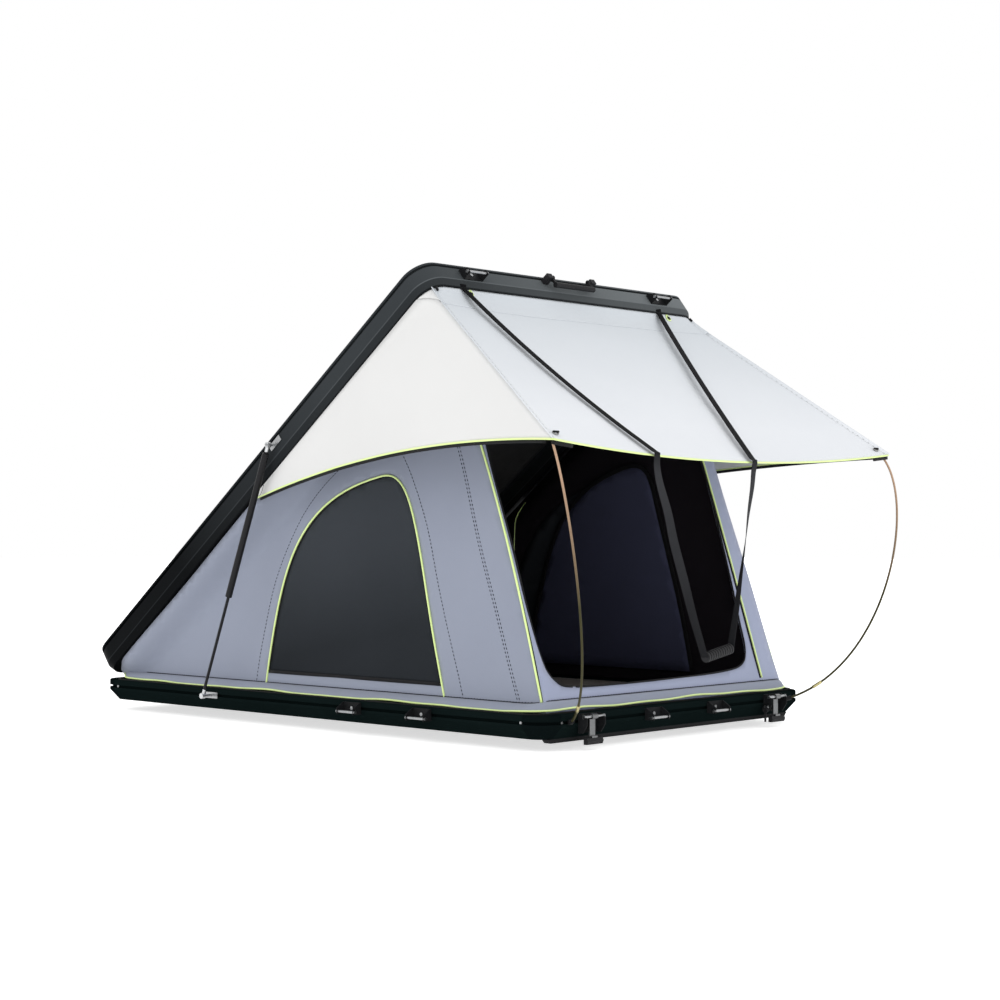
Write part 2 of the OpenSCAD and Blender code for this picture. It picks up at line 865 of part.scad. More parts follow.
module keeper_pins() {
    color("silver") at_keepers() {
        translate([pin_out, 0, -pin_drop]) headed_pin(latch_w);
        translate([bracket_t, 0, 0]) screw_head();
    }
}

// Lock on the right latch with its key on a post
lock_l = 10;
post_r = 1.5;
post_l = 7;
lock_out = 18;
lock_z = latch_low + bracket_h / 2;
key_t = 3;

module lock_place() {
    at_latch(1) translate([lock_out, -latch_w / 2, lock_z]) children();
}

module lock_barrel() {
    color("silver") lock_place() {
        translate([0, -lock_l / 2, 0]) along_y(screw_r + 1, lock_l);
        translate([0, -lock_l - post_l / 2, 0]) along_y(post_r, post_l);
        translate([0, -lock_l - post_l, 0]) along_y(2 * post_r, post_r);
    }
}

module key() {
    hang = key_bow_r - 2 * post_r;
    color("#161616") lock_place() translate([0, -lock_l - post_l / 2, 0]) difference() {
        union() {
            translate([0, 0, -hang]) along_y(key_bow_r, key_t);
            translate([-key_bow_r / 3, -key_t / 3, -hang - key_bow_r - key_blade + 1])
                cube([key_bow_r / 1.5, key_t / 1.5, key_blade]);
        }
        along_y(post_r + run_fit, key_t + 2);
    }
}

// Lid: rails, corners, roof panel and padded headliner
module lid_side_rail() {
    lid_place() translate([lid_back + lid_len / 2, lid_side, 0])
        rail(lid_section, lid_cavity, lid_len - 2 * corner_r);
}

module lid_rail_right() {
    color("#1a1c1e") lid_side_rail();
}

module lid_rail_left() {
    color("#1a1c1e") flip_y() lid_side_rail();
}

module lid_rail_front() {
    color("#2b2e32") lid_place() translate([lid_front, 0, 0]) rotate([0, 0, -90])
        rail(lid_section, lid_cavity, lid_wid - 2 * corner_r);
}

module lid_rail_rear() {
    color("#1a1c1e") lid_place() translate([lid_back, 0, 0]) rotate([0, 0, 90])
        rail(lid_section, lid_cavity, lid_wid - 2 * corner_r);
}

module lid_corner_castings() {
    color("#1a1c1e") lid_place() translate([lid_back + lid_len / 2, 0, 0])
        corners(lid_section, lid_cavity, lid_len, lid_wid);
}

module lid_plate(inset, thick, low) {
    lid_place() translate([lid_back + lid_len / 2, 0, low]) linear_extrude(thick)
        rounded_rect(lid_len - 2 * inset, lid_wid - 2 * inset, corner_r - inset);
}

module lid_roof_panel() {
    color("#202224") lid_plate(lid_rail_w + fit, roof_t, roof_under);
}

module lid_headliner() {
    color("#1b1e2a") lid_plate(lid_rail_w + lid_ledge_w + fit, liner_t, roof_under - liner_t);
}

// Lid handle: two end mounts with pivot pins and a grip hanging between them
pivot_l = 6;

module at_handle() {
    lid_place() translate([lid_front + handle_out, 0, handle_h]) children();
}

module lid_handle_mounts() {
    block = handle_out + handle_r;
    color("#141516") at_handle() for (s = [-1, 1]) {
        translate([-handle_out, s * handle_pitch / 2 - handle_mount_w / 2, -handle_r])
            cube([block, handle_mount_w, 2 * handle_r]);
        translate([0, s * (handle_pitch / 2 - handle_mount_w / 2 - pivot_l / 2), 0])
            along_y(handle_r / 2, pivot_l + 2);
    }
}

module lid_handle() {
    span = handle_pitch - handle_mount_w - 2 * fit;
    eye_r = handle_r - 1;
    eye_w = 10;
    color("#1d1f21") at_handle() difference() {
        union() {
            for (s = [-1, 1]) {
                translate([0, s * (span - eye_w) / 2, 0]) along_y(eye_r, eye_w);
                translate([-eye_r / 2, s * (span - eye_w) / 2 - eye_w / 2, -handle_drop])
                    cube([eye_r, eye_w, handle_drop]);
            }
            translate([0, 0, -handle_drop]) along_y(handle_r, span);
        }
        for (s = [-1, 1]) {
            translate([0, s * (span - eye_w) / 2, 0]) along_y(handle_r / 2 + run_fit, eye_w + 2);
        }
    }
}

// Front wall: it leans back from the tray's front to the lid's front, and holds the door
front_foot = [front_x - front_wall_in, base_top + 2 * fit + wall_t / 4];
front_head_3d = on_lid(lid_front - lid_rail_w - lid_ledge_w / 2, 0, ledge_under - wall_t / 2);
front_head = [front_head_3d[0], front_head_3d[2]];
front_run = front_head - front_foot;
front_lean = atan2(-front_run[0], front_run[1]);
front_tall = norm(front_run);
curve_steps = 14;

// Door: round foot corners, straight sides that lean in and a round top
function door_half() = concat(
    [for (k = [0:6]) let (a = -90 + 15 * k)
        [door_foot - door_r + door_r * cos(a), door_sill + door_r + door_r * sin(a)]],
    [for (k = [0:curve_steps]) bezier(
        [door_foot - door_r / 2, (door_sill + door_top) / 2],
        [door_shoulder, door_top * 0.8],
        [door_shoulder * 0.7, door_top],
        [0, door_top],
        k / curve_steps)]
);
function mirrored(points) = concat(points, [for (k = [len(points) - 1:-1:0]) [-points[k][0], points[k][1]]]);

module tent_wall_front() {
    foot = wall_y - 2 * fit;
    head = foot - front_tall * tan(wall_lean);
    color("#8c92a0") translate([front_foot[0], 0, front_foot[1]]) rotate([0, -front_lean, 0])
        rotate([90, 0, 90]) translate([0, 0, -wall_t]) linear_extrude(wall_t) difference() {
            polygon([[-foot, 0], [foot, 0], [head, front_tall], [-head, front_tall]]);
            polygon(mirrored(door_half()));
        }
}

// Side walls: from the tray's top they lean in to the headliner's underside, with an arched window
wall_gap = wall_t / cos(front_lean) + fit;
wall_front_top = mix(front_foot, front_head, 1 - wall_t / front_tall);
wall_head = roof_under - liner_t - fit;
wall_rear_x = -front_x + rail_w + fit;
wall_rear_h = (wall_rear_x - hinge_x) * tan(lid_open) + hinge_z - base_top - wall_t;
wall_rear_u = lid_back + lid_rail_w + 3 * wall_t;
function wall_at(u, h) = let (p = on_lid(u, 0, h)) [p[0], p[2] - base_top];
function wall_outline() = [
    [wall_rear_x, fit],
    [front_foot[0] - wall_gap, fit],
    [wall_front_top[0] - wall_gap, wall_front_top[1] - base_top],
    wall_at(lid_front - lid_rail_w - lid_ledge_w, wall_head),
    wall_at(wall_rear_u, wall_head),
    wall_at(wall_rear_u, -fit),
    [wall_rear_x, wall_rear_h]
];
function window_outline() = concat(
    [for (k = [0:curve_steps]) bezier(
        [window_rear, window_sill],
        [window_rear + 56, mix(window_sill, window_top, 0.5)],
        [mix(window_rear, window_top_x, 0.375), mix(window_sill, window_top, 0.87)],
        [window_top_x, window_top],
        k / curve_steps)],
    [for (k = [1:curve_steps]) bezier(
        [window_top_x, window_top],
        [mix(window_top_x, window_front, 0.42), window_top + 5],
        [mix(window_top_x, window_front, 0.70), mix(window_sill, window_top, 0.6)],
        [window_front, window_sill],
        k / curve_steps)]
);

module on_left_wall(thick) {
    translate([0, -wall_y + wall_t, base_top]) rotate([90 - wall_lean, 0, 0])
        linear_extrude(thick) children();
}

module side_wall() {
    on_left_wall(wall_t) difference() {
        polygon(wall_outline());
        polygon(window_outline());
    }
}

// The mesh is cut a little smaller than the window, about the window's middle
module window_mesh() {
    middle = [(window_rear + window_front) / 2, (window_sill + window_top) / 2];
    shrink = 1 - 2 * fit / (window_top - window_sill);
    translate([0, -(wall_t - mesh_t) / 2, 0]) on_left_wall(mesh_t)
        translate(middle) scale(shrink) translate(-middle) polygon(window_outline());
}

module tent_wall_left() {
    color("#8c92a0") side_wall();
}

module tent_wall_right() {
    color("#8c92a0") flip_y() side_wall();
}

module window_mesh_left() {
    color("#26282b") window_mesh();
}

module window_mesh_right() {
    color("#26282b") flip_y() window_mesh();
}

module tent_wall_rear() {
    half = side_y - corner_r;
    x = -front_x + rail_w + fit;
    color("#8c92a0") translate([x, -half, floor_top + fit])
        cube([wall_t, 2 * half, base_top - floor_top + wall_rear_h]);
}

// Mattress: a crowned pad whose sides pull in between its corners
mattress_l = base_len - 2 * rail_w - 2 * mattress_room;
mattress_w = base_wid - 2 * rail_w - 2 * mattress_room;

module mattress() {
    rows = 16;
    cols = 10;
    edge_drop = mattress_t / 3;
    low = floor_top + fit;
    function plan(i, j, inset) = let (s = 2 * i / rows - 1, t = 2 * j / cols - 1) [
        s * (mattress_l / 2 - inset - mattress_draw * (1 - t * t)),
        t * (mattress_w / 2 - inset - mattress_draw * (1 - s * s))
    ];
    function height(i, j) = let (s = 2 * i / rows - 1, t = 2 * j / cols - 1)
        mattress_t - edge_drop * max(pow(s, 12), pow(t, 12)) + mattress_crown * (1 - s * s) * (1 - t * t);
    color("#6b6258") grid_solid(
        [for (i = [0:rows]) [for (j = [0:cols]) let (p = plan(i, j, 0)) [p[0], p[1], low + height(i, j)]]],
        [for (i = [0:rows]) [for (j = [0:cols]) let (p = plan(i, j, 0)) [p[0], p[1], low]]]
    );
}

// Awning: a front panel from the lid's front edge, and a wing on each side
awning_corner = [front_x + awning_reach, awning_half, base_top + awning_z];
awning_root = on_lid(lid_front - lid_rail_w + 2 * awning_t, lid_side - lid_rail_w, -fit);
panel_rows = 8;
panel_cols = 16;

module awning_front() {
    function panel(i, j) = let (
        s = i / panel_rows,
        t = j / panel_cols,
        root = [awning_root[0], mix(-awning_root[1], awning_root[1], t), awning_root[2]],
        rim = [awning_corner[0], mix(-awning_half, awning_half, t), awning_corner[2] - awning_sag * arch(t)]
    ) mix(root, rim, s) - [0, 0, awning_belly * arch(s) * arch(t)];
    color("#e6e8ec") grid_solid(
        [for (i = [0:panel_rows]) [for (j = [0:panel_cols]) panel(i, j)]],
        [for (i = [0:panel_rows]) [for (j = [0:panel_cols]) panel(i, j) - [0, 0, awning_t]]]
    );
}

// Left wing: from the lid's side rail down to a lower edge that rises in an arch
module awning_wing() {
    side = lid_side - bevel_in - 2 * awning_t;
    rail_rear = on_lid(wing_rear_u, -side, -fit);
    rail_front = [awning_root[0], -awning_root[1] - fit, awning_root[2]];
    hem_rear = on_lid(wing_rear_u - 8 * awning_t, -side, -4 * awning_t);
    hem_front = [awning_corner[0], -awning_corner[1] - fit, awning_corner[2]];
    function wing(i, j) = let (
        s = i / panel_cols,
        top = mix(rail_rear, rail_front, s),
        hem = mix(hem_rear, hem_front, s) + [0, 0, wing_rise * arch(s)]
    ) mix(hem, top, j / panel_rows);
    color("#eeeeec") grid_solid(
        [for (i = [0:panel_cols]) [for (j = [0:panel_rows]) wing(i, panel_rows - j) - [0, awning_t, 0]]],
        [for (i = [0:panel_cols]) [for (j = [0:panel_rows]) wing(i, panel_rows - j)]]
    );
}

module awning_wing_left() {
    awning_wing();
}

module awning_wing_right() {
    flip_y() awning_wing();
}

// Awning rods: sprung steel, bowed from a socket on the front rail to the awning's corner
rod_foot = [front_x + rod_socket_r - 2, -rod_foot_y, groove_mid];
rod_bow = [rod_bow_x, -rod_bow_y, 0];
rod_rise = [0, 0, 106];
rod_dir = unit(rod_bow * 1.7 + rod_rise);
rod_start = rod_foot + rod_dir * 3 * fit;
rod_end = [awning_corner[0] - 12, -awning_corner[1] + 12, awning_corner[2] - awning_t - awning_rod_r - 4];
rod_steps = 40;

module awning_rod() {
    chord = rod_end - rod_start;
    path = [for (k = [0:rod_steps]) bezier(
        rod_start,
        rod_start + rod_bow * 1.7 + rod_rise,
        rod_start + chord * 0.82 + rod_bow * 0.83,
        rod_end,
        k / rod_steps)];
    color("#6e6a34") swept(path, awning_rod_r, awning_rod_r, 8, [1, 1, 0], [1, 1, 0]);
}

module awning_rod_left() {
    awning_rod();
}

module awning_rod_right() {
    flip_y() awning_rod();
}

module rod_sockets() {
    plate_t = 4;
    color("#141516") both_sides() difference() {
        union() {
            translate([front_x, -rod_foot_y - rod_socket_l / 2, groove_mid - rod_socket_r])
                cube([plate_t, rod_socket_l, 2 * rod_socket_r]);
            translate(rod_foot) rotate([0, acos(rod_dir[2]), atan2(rod_dir[1], rod_dir[0])])
                cylinder(r = rod_socket_r, h = rod_socket_l, $fn = round_fn);
        }
        translate(rod_foot) rotate([0, acos(rod_dir[2]), atan2(rod_dir[1], rod_dir[0])])
            cylinder(r = awning_rod_r + 3 * fit, h = rod_socket_l + 1, $fn = round_fn);
    }
}

// Pull strap: webbing from the lid's front edge, over the awning and down to a ribbed grip
strap_lift = 0.6 * strap_t + fit;
strap_over_x = awning_corner[0] + 14;
strap_hang = [
    [0.02, 0.06], [0.08, 0.145], [0.24, 0.285], [0.36, 0.425],
    [0.55, 0.60], [0.75, 0.79], [0.90, 0.915], [1, 1]
];
strap_root_left = -506;
strap_root_right = 443;
strap_over_left = -404;
strap_over_right = 69;
strap_meet = 1.5;
grip_left = [strap_over_x - 4, -176, base_top + 154];
grip_right = [strap_over_x - 4, -52, base_top + 175];
bevel_out = unit([bevel_h, -bevel_in]);
function on_bevel(y, t) = on_lid(
    lid_front - bevel_in * (1 - t) + bevel_out[0] * strap_lift, y, bevel_h * t + bevel_out[1] * strap_lift);
function rim_z(y) = awning_corner[2] - awning_sag * arch((y + awning_half) / (2 * awning_half));
function strap_path(root_y, over_y, last) = let (
    bend = on_bevel(root_y, -0.6),
    over = [strap_over_x, over_y, rim_z(over_y) + strap_t + 1]
) concat(
    [on_bevel(root_y, 0.9), on_bevel(root_y, 0.1)],
    [for (k = [0:4]) mix(bend, over + [-12, 0, 9], k / 4)],
    [over],
    [for (f = strap_hang) [last[0], mix(over[1], last[1], f[0]), mix(over[2], last[2], f[1])]]
);
strap_left_path = strap_path(strap_root_left, strap_over_left, grip_left + [0, -strap_meet, strap_meet / 3]);
strap_right_path = strap_path(
    strap_root_right, strap_over_right, grip_right + [0, strap_meet, strap_meet / 3]);

module pull_strap_left() {
    color("#191919") swept(strap_left_path, strap_w / 2, strap_t / 2, 8, [0, 1, 0], [1, 0, 0], 7);
}

module pull_strap_right() {
    color("#191919") swept(strap_right_path, strap_w / 2, strap_t / 2, 8, [0, 1, 0], [-1, 0, 0], 7);
}

module strap_grip() {
    run = grip_right - grip_left;
    length = norm(run);
    pitch = length / (grip_ribs + 2);
    color("#151515") translate(grip_left) rotate([0, acos(run[2] / length), atan2(run[1], run[0])]) {
        cylinder(r = grip_r - 2, h = length, $fn = round_fn);
        for (k = [0:grip_ribs + 1]) {
            translate([0, 0, k * pitch + pitch / 4]) cylinder(r = grip_r, h = pitch / 2, $fn = round_fn);
        }
    }
}

floor_panel();
base_rail_left();
base_rail_right();
base_rail_front();
base_rail_rear();
base_corner_castings();
front_drip_strip();
mounting_channels();
base_seal();
base_screws();
hinge_base_leaves();
hinge_pins();
strut_base_studs();
latch_mount_left();
latch_mount_right();
latch_pins();
ladder_brackets_front();
ladder_brackets_left();
ladder_brackets_right();
ladder_pins();
rod_sockets();
lock_barrel();
mattress();
tent_wall_left();
tent_wall_right();
tent_wall_front();
tent_wall_rear();
window_mesh_left();
window_mesh_right();
lid_roof_panel();
lid_rail_left();
lid_rail_right();
lid_rail_front();
lid_rail_rear();
lid_corner_castings();
lid_headliner();
hinge_lid_leaves();
strut_lid_studs();
latch_keepers();
keeper_pins();
lid_handle_mounts();
strut_tube_left();
strut_rod_left();
strut_tube_right();
strut_rod_right();
latch_hasp_left();
latch_pull_left();
latch_hasp_right();
latch_pull_right();
lid_handle();
key();
awning_front();
awning_wing_left();
awning_wing_right();
awning_rod_left();
awning_rod_right();
pull_strap_left();
pull_strap_right();
strap_grip();
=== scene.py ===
import bmesh
import bpy
from math import asin, copysign, cos, pi, radians, sin
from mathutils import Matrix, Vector
from mathutils.geometry import delaunay_2d_cdt


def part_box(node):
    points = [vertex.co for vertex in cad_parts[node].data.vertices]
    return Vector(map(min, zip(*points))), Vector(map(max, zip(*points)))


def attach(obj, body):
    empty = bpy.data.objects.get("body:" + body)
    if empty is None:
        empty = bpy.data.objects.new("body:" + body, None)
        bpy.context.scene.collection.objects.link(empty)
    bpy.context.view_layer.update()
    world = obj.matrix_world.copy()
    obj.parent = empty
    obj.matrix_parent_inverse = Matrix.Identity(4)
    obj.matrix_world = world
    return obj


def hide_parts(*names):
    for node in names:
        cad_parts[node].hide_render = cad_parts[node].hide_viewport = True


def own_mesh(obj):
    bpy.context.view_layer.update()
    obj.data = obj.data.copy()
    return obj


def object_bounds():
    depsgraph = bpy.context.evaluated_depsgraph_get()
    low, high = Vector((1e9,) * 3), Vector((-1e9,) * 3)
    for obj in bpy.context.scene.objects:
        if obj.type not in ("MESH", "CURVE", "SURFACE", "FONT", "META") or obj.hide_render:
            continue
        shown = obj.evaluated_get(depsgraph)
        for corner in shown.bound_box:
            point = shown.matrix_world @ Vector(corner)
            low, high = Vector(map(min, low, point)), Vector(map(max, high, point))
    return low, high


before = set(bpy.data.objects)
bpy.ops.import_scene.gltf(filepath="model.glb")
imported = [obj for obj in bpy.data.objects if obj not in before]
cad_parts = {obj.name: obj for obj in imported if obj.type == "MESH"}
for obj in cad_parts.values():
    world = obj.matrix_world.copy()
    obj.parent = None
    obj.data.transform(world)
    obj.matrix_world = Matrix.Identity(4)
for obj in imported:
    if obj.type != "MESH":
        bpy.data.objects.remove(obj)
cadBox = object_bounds()
print("frame loaded:", len(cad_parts), "nodes")
studio = bpy.context.scene
leftRight = ((-1, "left"), (1, "right"))

# metres, same frame as the CAD: +X to the door end, -Y the left side, +Z up
tent = {
    "hinge": (-1.028, 0.112),  # x and z of the rear hinge axis
    "lidOpen": radians(37.7),
    "lidBack": 0.013,
    "lidFront": 2.068,
    "lidSide": 0.665,
    "lidRail": 0.040,
    "lidLedge": 0.030,
    "linerUnder": 0.058,  # underside of the headliner above the lid's lower edge
    "bevelIn": 0.011,
    "bevelHigh": 0.024,
    "trayTop": 0.108,
}
lidCos, lidSin = cos(tent["lidOpen"]), sin(tent["lidOpen"])


def vec(*numbers):
    return Vector(numbers)


def onLid(u, y, h):  # u along the lid from the hinge, h above its lower edge
    x0, z0 = tent["hinge"]
    return vec(x0 + u * lidCos - h * lidSin, y, z0 + u * lidSin + h * lidCos)


def lidHeight(x, z):  # works on numbers and on shader wires
    x0, z0 = tent["hinge"]
    return (z - z0) * lidCos - (x - x0) * lidSin


def mix(a, b, t):
    return a + (b - a) * t


def arch(t):
    return 4 * t * (1 - t)


def clamp(t, low=0.0, high=1.0):
    return max(low, min(high, t))


def ripple(a, b, waves):  # each wave: height, pull along a, pull along b, start
    return sum(w[0] * sin(w[1] * a + w[2] * b + w[3]) for w in waves)


def bezier(a, b, c, d, t):
    k = 1 - t
    return a * k ** 3 + b * (3 * t * k * k) + c * (3 * t * t * k) + d * t ** 3


def addObject(name, data):
    thing = bpy.data.objects.new(name, data)
    studio.collection.objects.link(thing)
    return thing


# camera at the photo's angle
view = {"place": (4.794, -4.834, 0.644), "yaw": 43.05, "tip": -0.78, "lens": 71.485, "film": 36}
cameraData = bpy.data.cameras.new("viewCamera")
cameraData.lens, cameraData.sensor_width = view["lens"], view["film"]
camera = addObject("viewCamera", cameraData)
camera.location = view["place"]
camera.rotation_euler = (radians(90 - view["tip"]), 0, radians(view["yaw"]))
studio.camera = camera


# mesh tools
def addPiece(name, points, faces, looks, faceLooks=None, closed=True):  # looks: keys of the finishes table
    mesh = bpy.data.meshes.new(name)
    mesh.from_pydata([tuple(p) for p in points], [], faces)
    for look in looks:
        mesh.materials.append(finishes[look])
    if faceLooks:
        mesh.polygons.foreach_set("material_index", faceLooks)
    mesh.polygons.foreach_set("use_smooth", [closed] * len(mesh.polygons))
    if closed:  # no loose points, and faces turned outwards
        work = bmesh.new()
        work.from_mesh(mesh)
        bmesh.ops.delete(work, geom=[v for v in work.verts if not v.link_faces], context="VERTS")
        bmesh.ops.recalc_face_normals(work, faces=work.faces)
        work.to_mesh(mesh)
        work.free()
    mesh.update()
    return addObject(name, mesh)


def smoothPath(points, step, closed=False):  # Catmull-Rom through the points, evenly stepped
    points = [Vector(p) for p in points]
    count = len(points)
    spans = count if closed else count - 1
    fine = []
    for i in range(spans):
        near = [(i + k) % count if closed else clamp(i + k, 0, count - 1) for k in (-1, 0, 1, 2)]
        a, b, c, d = (points[k] for k in near)
        for k in range(16):
            t = k / 16
            fine.append(0.5 * (2 * b + (c - a) * t + (2 * a - 5 * b + 4 * c - d) * t * t
                               + (3 * b - a - 3 * c + d) * t ** 3))
    fine.append(points[0].copy() if closed else points[-1].copy())
    return evenPath(fine, step)


def evenPath(points, step):
    lengths = [0.0]
    for a, b in zip(points, points[1:]):
        lengths.append(lengths[-1] + (b - a).length)
    count = max(2, round(lengths[-1] / step))
    out, k = [], 0
    for i in range(count + 1):
        want = lengths[-1] * i / count
        while k < len(points) - 2 and lengths[k + 1] < want:
            k += 1
        span = lengths[k + 1] - lengths[k]
        out.append(mix(points[k], points[k + 1], (want - lengths[k]) / span if span else 0))
    return out


def pathLength(points):
    return sum((b - a).length for a, b in zip(points, points[1:]))


def alongAt(points, i):
    return (points[min(i + 1, len(points) - 1)] - points[max(i - 1, 0)]).normalized()


def sweep(name, points, across, halfWide, halfThick, look, sides=8, flat=4.0):
    # closed section swept along points; across: the width's direction, or one for each point; flat: its squareness
    if isinstance(across, Vector):
        across = [across] * len(points)
    last = len(points) - 1
    verts, faces = [], []
    for i, p in enumerate(points):
        along = alongAt(points, i)
        wide = (across[i] - along * across[i].dot(along)).normalized()
        thick = along.cross(wide)
        for k in range(sides):
            a = 2 * pi * (k + 0.5) / sides
            ca, sa = cos(a), sin(a)
            w = copysign(abs(ca) ** (2 / flat), ca) * halfWide
            t = copysign(abs(sa) ** (2 / flat), sa) * halfThick
            verts.append(p + wide * w + thick * t)
    for i in range(last):
        for k in range(sides):
            m = (k + 1) % sides
            faces.append((i * sides + k, i * sides + m, (i + 1) * sides + m, (i + 1) * sides + k))
    faces.append(tuple(range(sides - 1, -1, -1)))
    faces.append(tuple(last * sides + k for k in range(sides)))
    return addPiece(name, verts, faces, [look])


def tube(name, points, radius, look, sides=10):
    side = vec(0.31, 0.52, 0.79).normalized()  # carried along the path, so that the tube doesn't twist
    across = []
    for i in range(len(points)):
        along = alongAt(points, i)
        side = (side - along * side.dot(along)).normalized()
        across.append(side.copy())
    return sweep(name, points, across, radius, radius, look, sides, 2.0)


def inside(x, y, loop):
    hit = False
    for (x1, y1), (x2, y2) in zip(loop, loop[1:] + loop[:1]):
        if (y1 > y) != (y2 > y) and x < (x2 - x1) * (y - y1) / (y2 - y1) + x1:
            hit = not hit
    return hit


def closedLoop(loop, pitch):  # even points round a 2D outline
    points = [vec(x, y, 0) for x, y in loop]
    out = []
    for a, b in zip(points, points[1:] + points[:1]):
        count = max(1, round((b - a).length / pitch))
        out += [tuple(mix(a, b, k / count)[:2]) for k in range(count)]
    return out


def twoFaced(name, front, back, faces, rim, looks):  # two sheets joined along the rim's edges
    count = len(front)
    inner = [tuple(k + count for k in reversed(face)) for face in faces]
    edge = [(b, a, a + count, b + count) for a, b in rim]
    faceLooks = [0] * len(faces) + [len(looks) - 1] * len(inner) + [0] * len(edge)
    return addPiece(name, front + back, faces + inner + edge, looks, faceLooks)


def clothPanel(name, outline, holes, pitch, place, normal, thick, looks):
    # flat cut (outline less holes) laid on the surface that place gives, with an outer and an inner face
    loops = [closedLoop(loop, pitch) for loop in [outline] + holes]

    def onCloth(x, y):
        return inside(x, y, loops[0]) and not any(inside(x, y, hole) for hole in loops[1:])

    points, edges = [], []
    for loop in loops:
        start = len(points)
        points += loop
        edges += [(start + k, start + (k + 1) % len(loop)) for k in range(len(loop))]
    rim = list(points)
    xs, ys = zip(*loops[0])
    gap = (0.6 * pitch) ** 2
    row, y = 0, min(ys) + pitch / 2
    while y < max(ys):
        x = min(xs) + pitch * (0.5 + 0.5 * (row % 2))
        while x < max(xs):
            if onCloth(x, y) and all((x - p[0]) ** 2 + (y - p[1]) ** 2 > gap for p in rim):
                points.append((x, y))
            x += pitch
        row, y = row + 1, y + pitch * 0.866
    flat, _, tris, *_ = delaunay_2d_cdt([Vector(p) for p in points], edges, [], 0, 1e-6)
    kept = []
    for tri in tris:
        cx, cy = (sum(flat[k][axis] for k in tri) / 3 for axis in (0, 1))
        if onCloth(cx, cy):
            kept.append(tuple(tri))
    area = 0.0
    uses = {}
    for a, b, c in kept:
        area += abs((flat[b] - flat[a]).cross(flat[c] - flat[a])) / 2
        for e in ((a, b), (b, c), (c, a)):
            uses.setdefault(tuple(sorted(e)), []).append(e)
    border = [found[0] for found in uses.values() if len(found) == 1]
    middle = [place(p.x, p.y) for p in flat]
    shift = normal * (thick / 2)
    piece = twoFaced(name, [p + shift for p in middle], [p - shift for p in middle], kept, border, looks)
    return piece, (max(xs) - min(xs), max(ys) - min(ys)), area


def clothGrid(name, rows, cols, place, offset, looks):
    # square grid laid on place(s, t), its second face moved by offset(s, t)
    at = [(i / rows, j / cols) for i in range(rows + 1) for j in range(cols + 1)]
    front = [place(s, t) for s, t in at]
    back = [p + offset(s, t) for p, (s, t) in zip(front, at)]
    wide = cols + 1
    faces = [(k, k + 1, k + wide + 1, k + wide) for i in range(rows) for k in range(i * wide, i * wide + cols)]
    ring = [*range(cols), *range(cols, rows * wide, wide)]
    ring += [*range(rows * wide + cols, rows * wide, -1), *range(rows * wide, 0, -wide)]
    area = sum((front[c] - front[a]).cross(front[d] - front[b]).length / 2 for a, b, c, d in faces)
    return twoFaced(name, front, back, faces, zip(ring, ring[1:] + ring[:1]), looks), area


def stitches(name, paths, pitch, size, look):
    # a row of raised thread ends along each path
    length, radius = size
    verts, faces = [], []
    for path in paths:
        for p, q in zip(path, path[1:]):
            along = (q - p).normalized()
            side = along.cross(vec(0.3, 0.5, 0.8)).normalized()
            up = along.cross(side)
            count = max(1, int((q - p).length / pitch))
            for k in range(count):
                mid = mix(p, q, (k + 0.5) / count)
                n = len(verts)
                verts += [mid - along * length / 2, mid + along * length / 2]
                verts += [mid + side * radius, mid + up * radius, mid - side * radius, mid - up * radius]
                for j in range(4):
                    a, b = n + 2 + j, n + 2 + (j + 1) % 4
                    faces += [(n, a, b), (n + 1, b, a)]
    return addPiece(name, verts, faces, [look])


# shader tools: a wire is a node's output, and sums on wires add Math nodes
class Wire:
    def __init__(self, tree, socket):
        self.tree, self.socket = tree, socket

    def calc(self, operation, *values):
        node = self.tree.nodes.new("ShaderNodeMath")
        node.operation = operation
        for slot, value in zip(node.inputs, values):
            if isinstance(value, Wire):
                self.tree.links.new(value.socket, slot)
            else:
                slot.default_value = value
        return Wire(self.tree, node.outputs[0])

    def __add__(self, other):
        return self.calc("ADD", self, other)

    def __radd__(self, other):
        return self.calc("ADD", other, self)

    def __sub__(self, other):
        return self.calc("SUBTRACT", self, other)

    def __rsub__(self, other):
        return self.calc("SUBTRACT", other, self)

    def __mul__(self, other):
        return self.calc("MULTIPLY", self, other)

    def __rmul__(self, other):
        return self.calc("MULTIPLY", other, self)

    def __pow__(self, other):
        return self.calc("POWER", self, other)

    def sine(self):
        return self.calc("SINE", self)

    def size(self):
        return self.calc("ABSOLUTE", self)

    def above(self, level):
        return self.calc("GREATER_THAN", self, level)

    def held(self):  # kept from 0 to 1
        return self.calc("MINIMUM", self.calc("MAXIMUM", self, 0.0), 1.0)


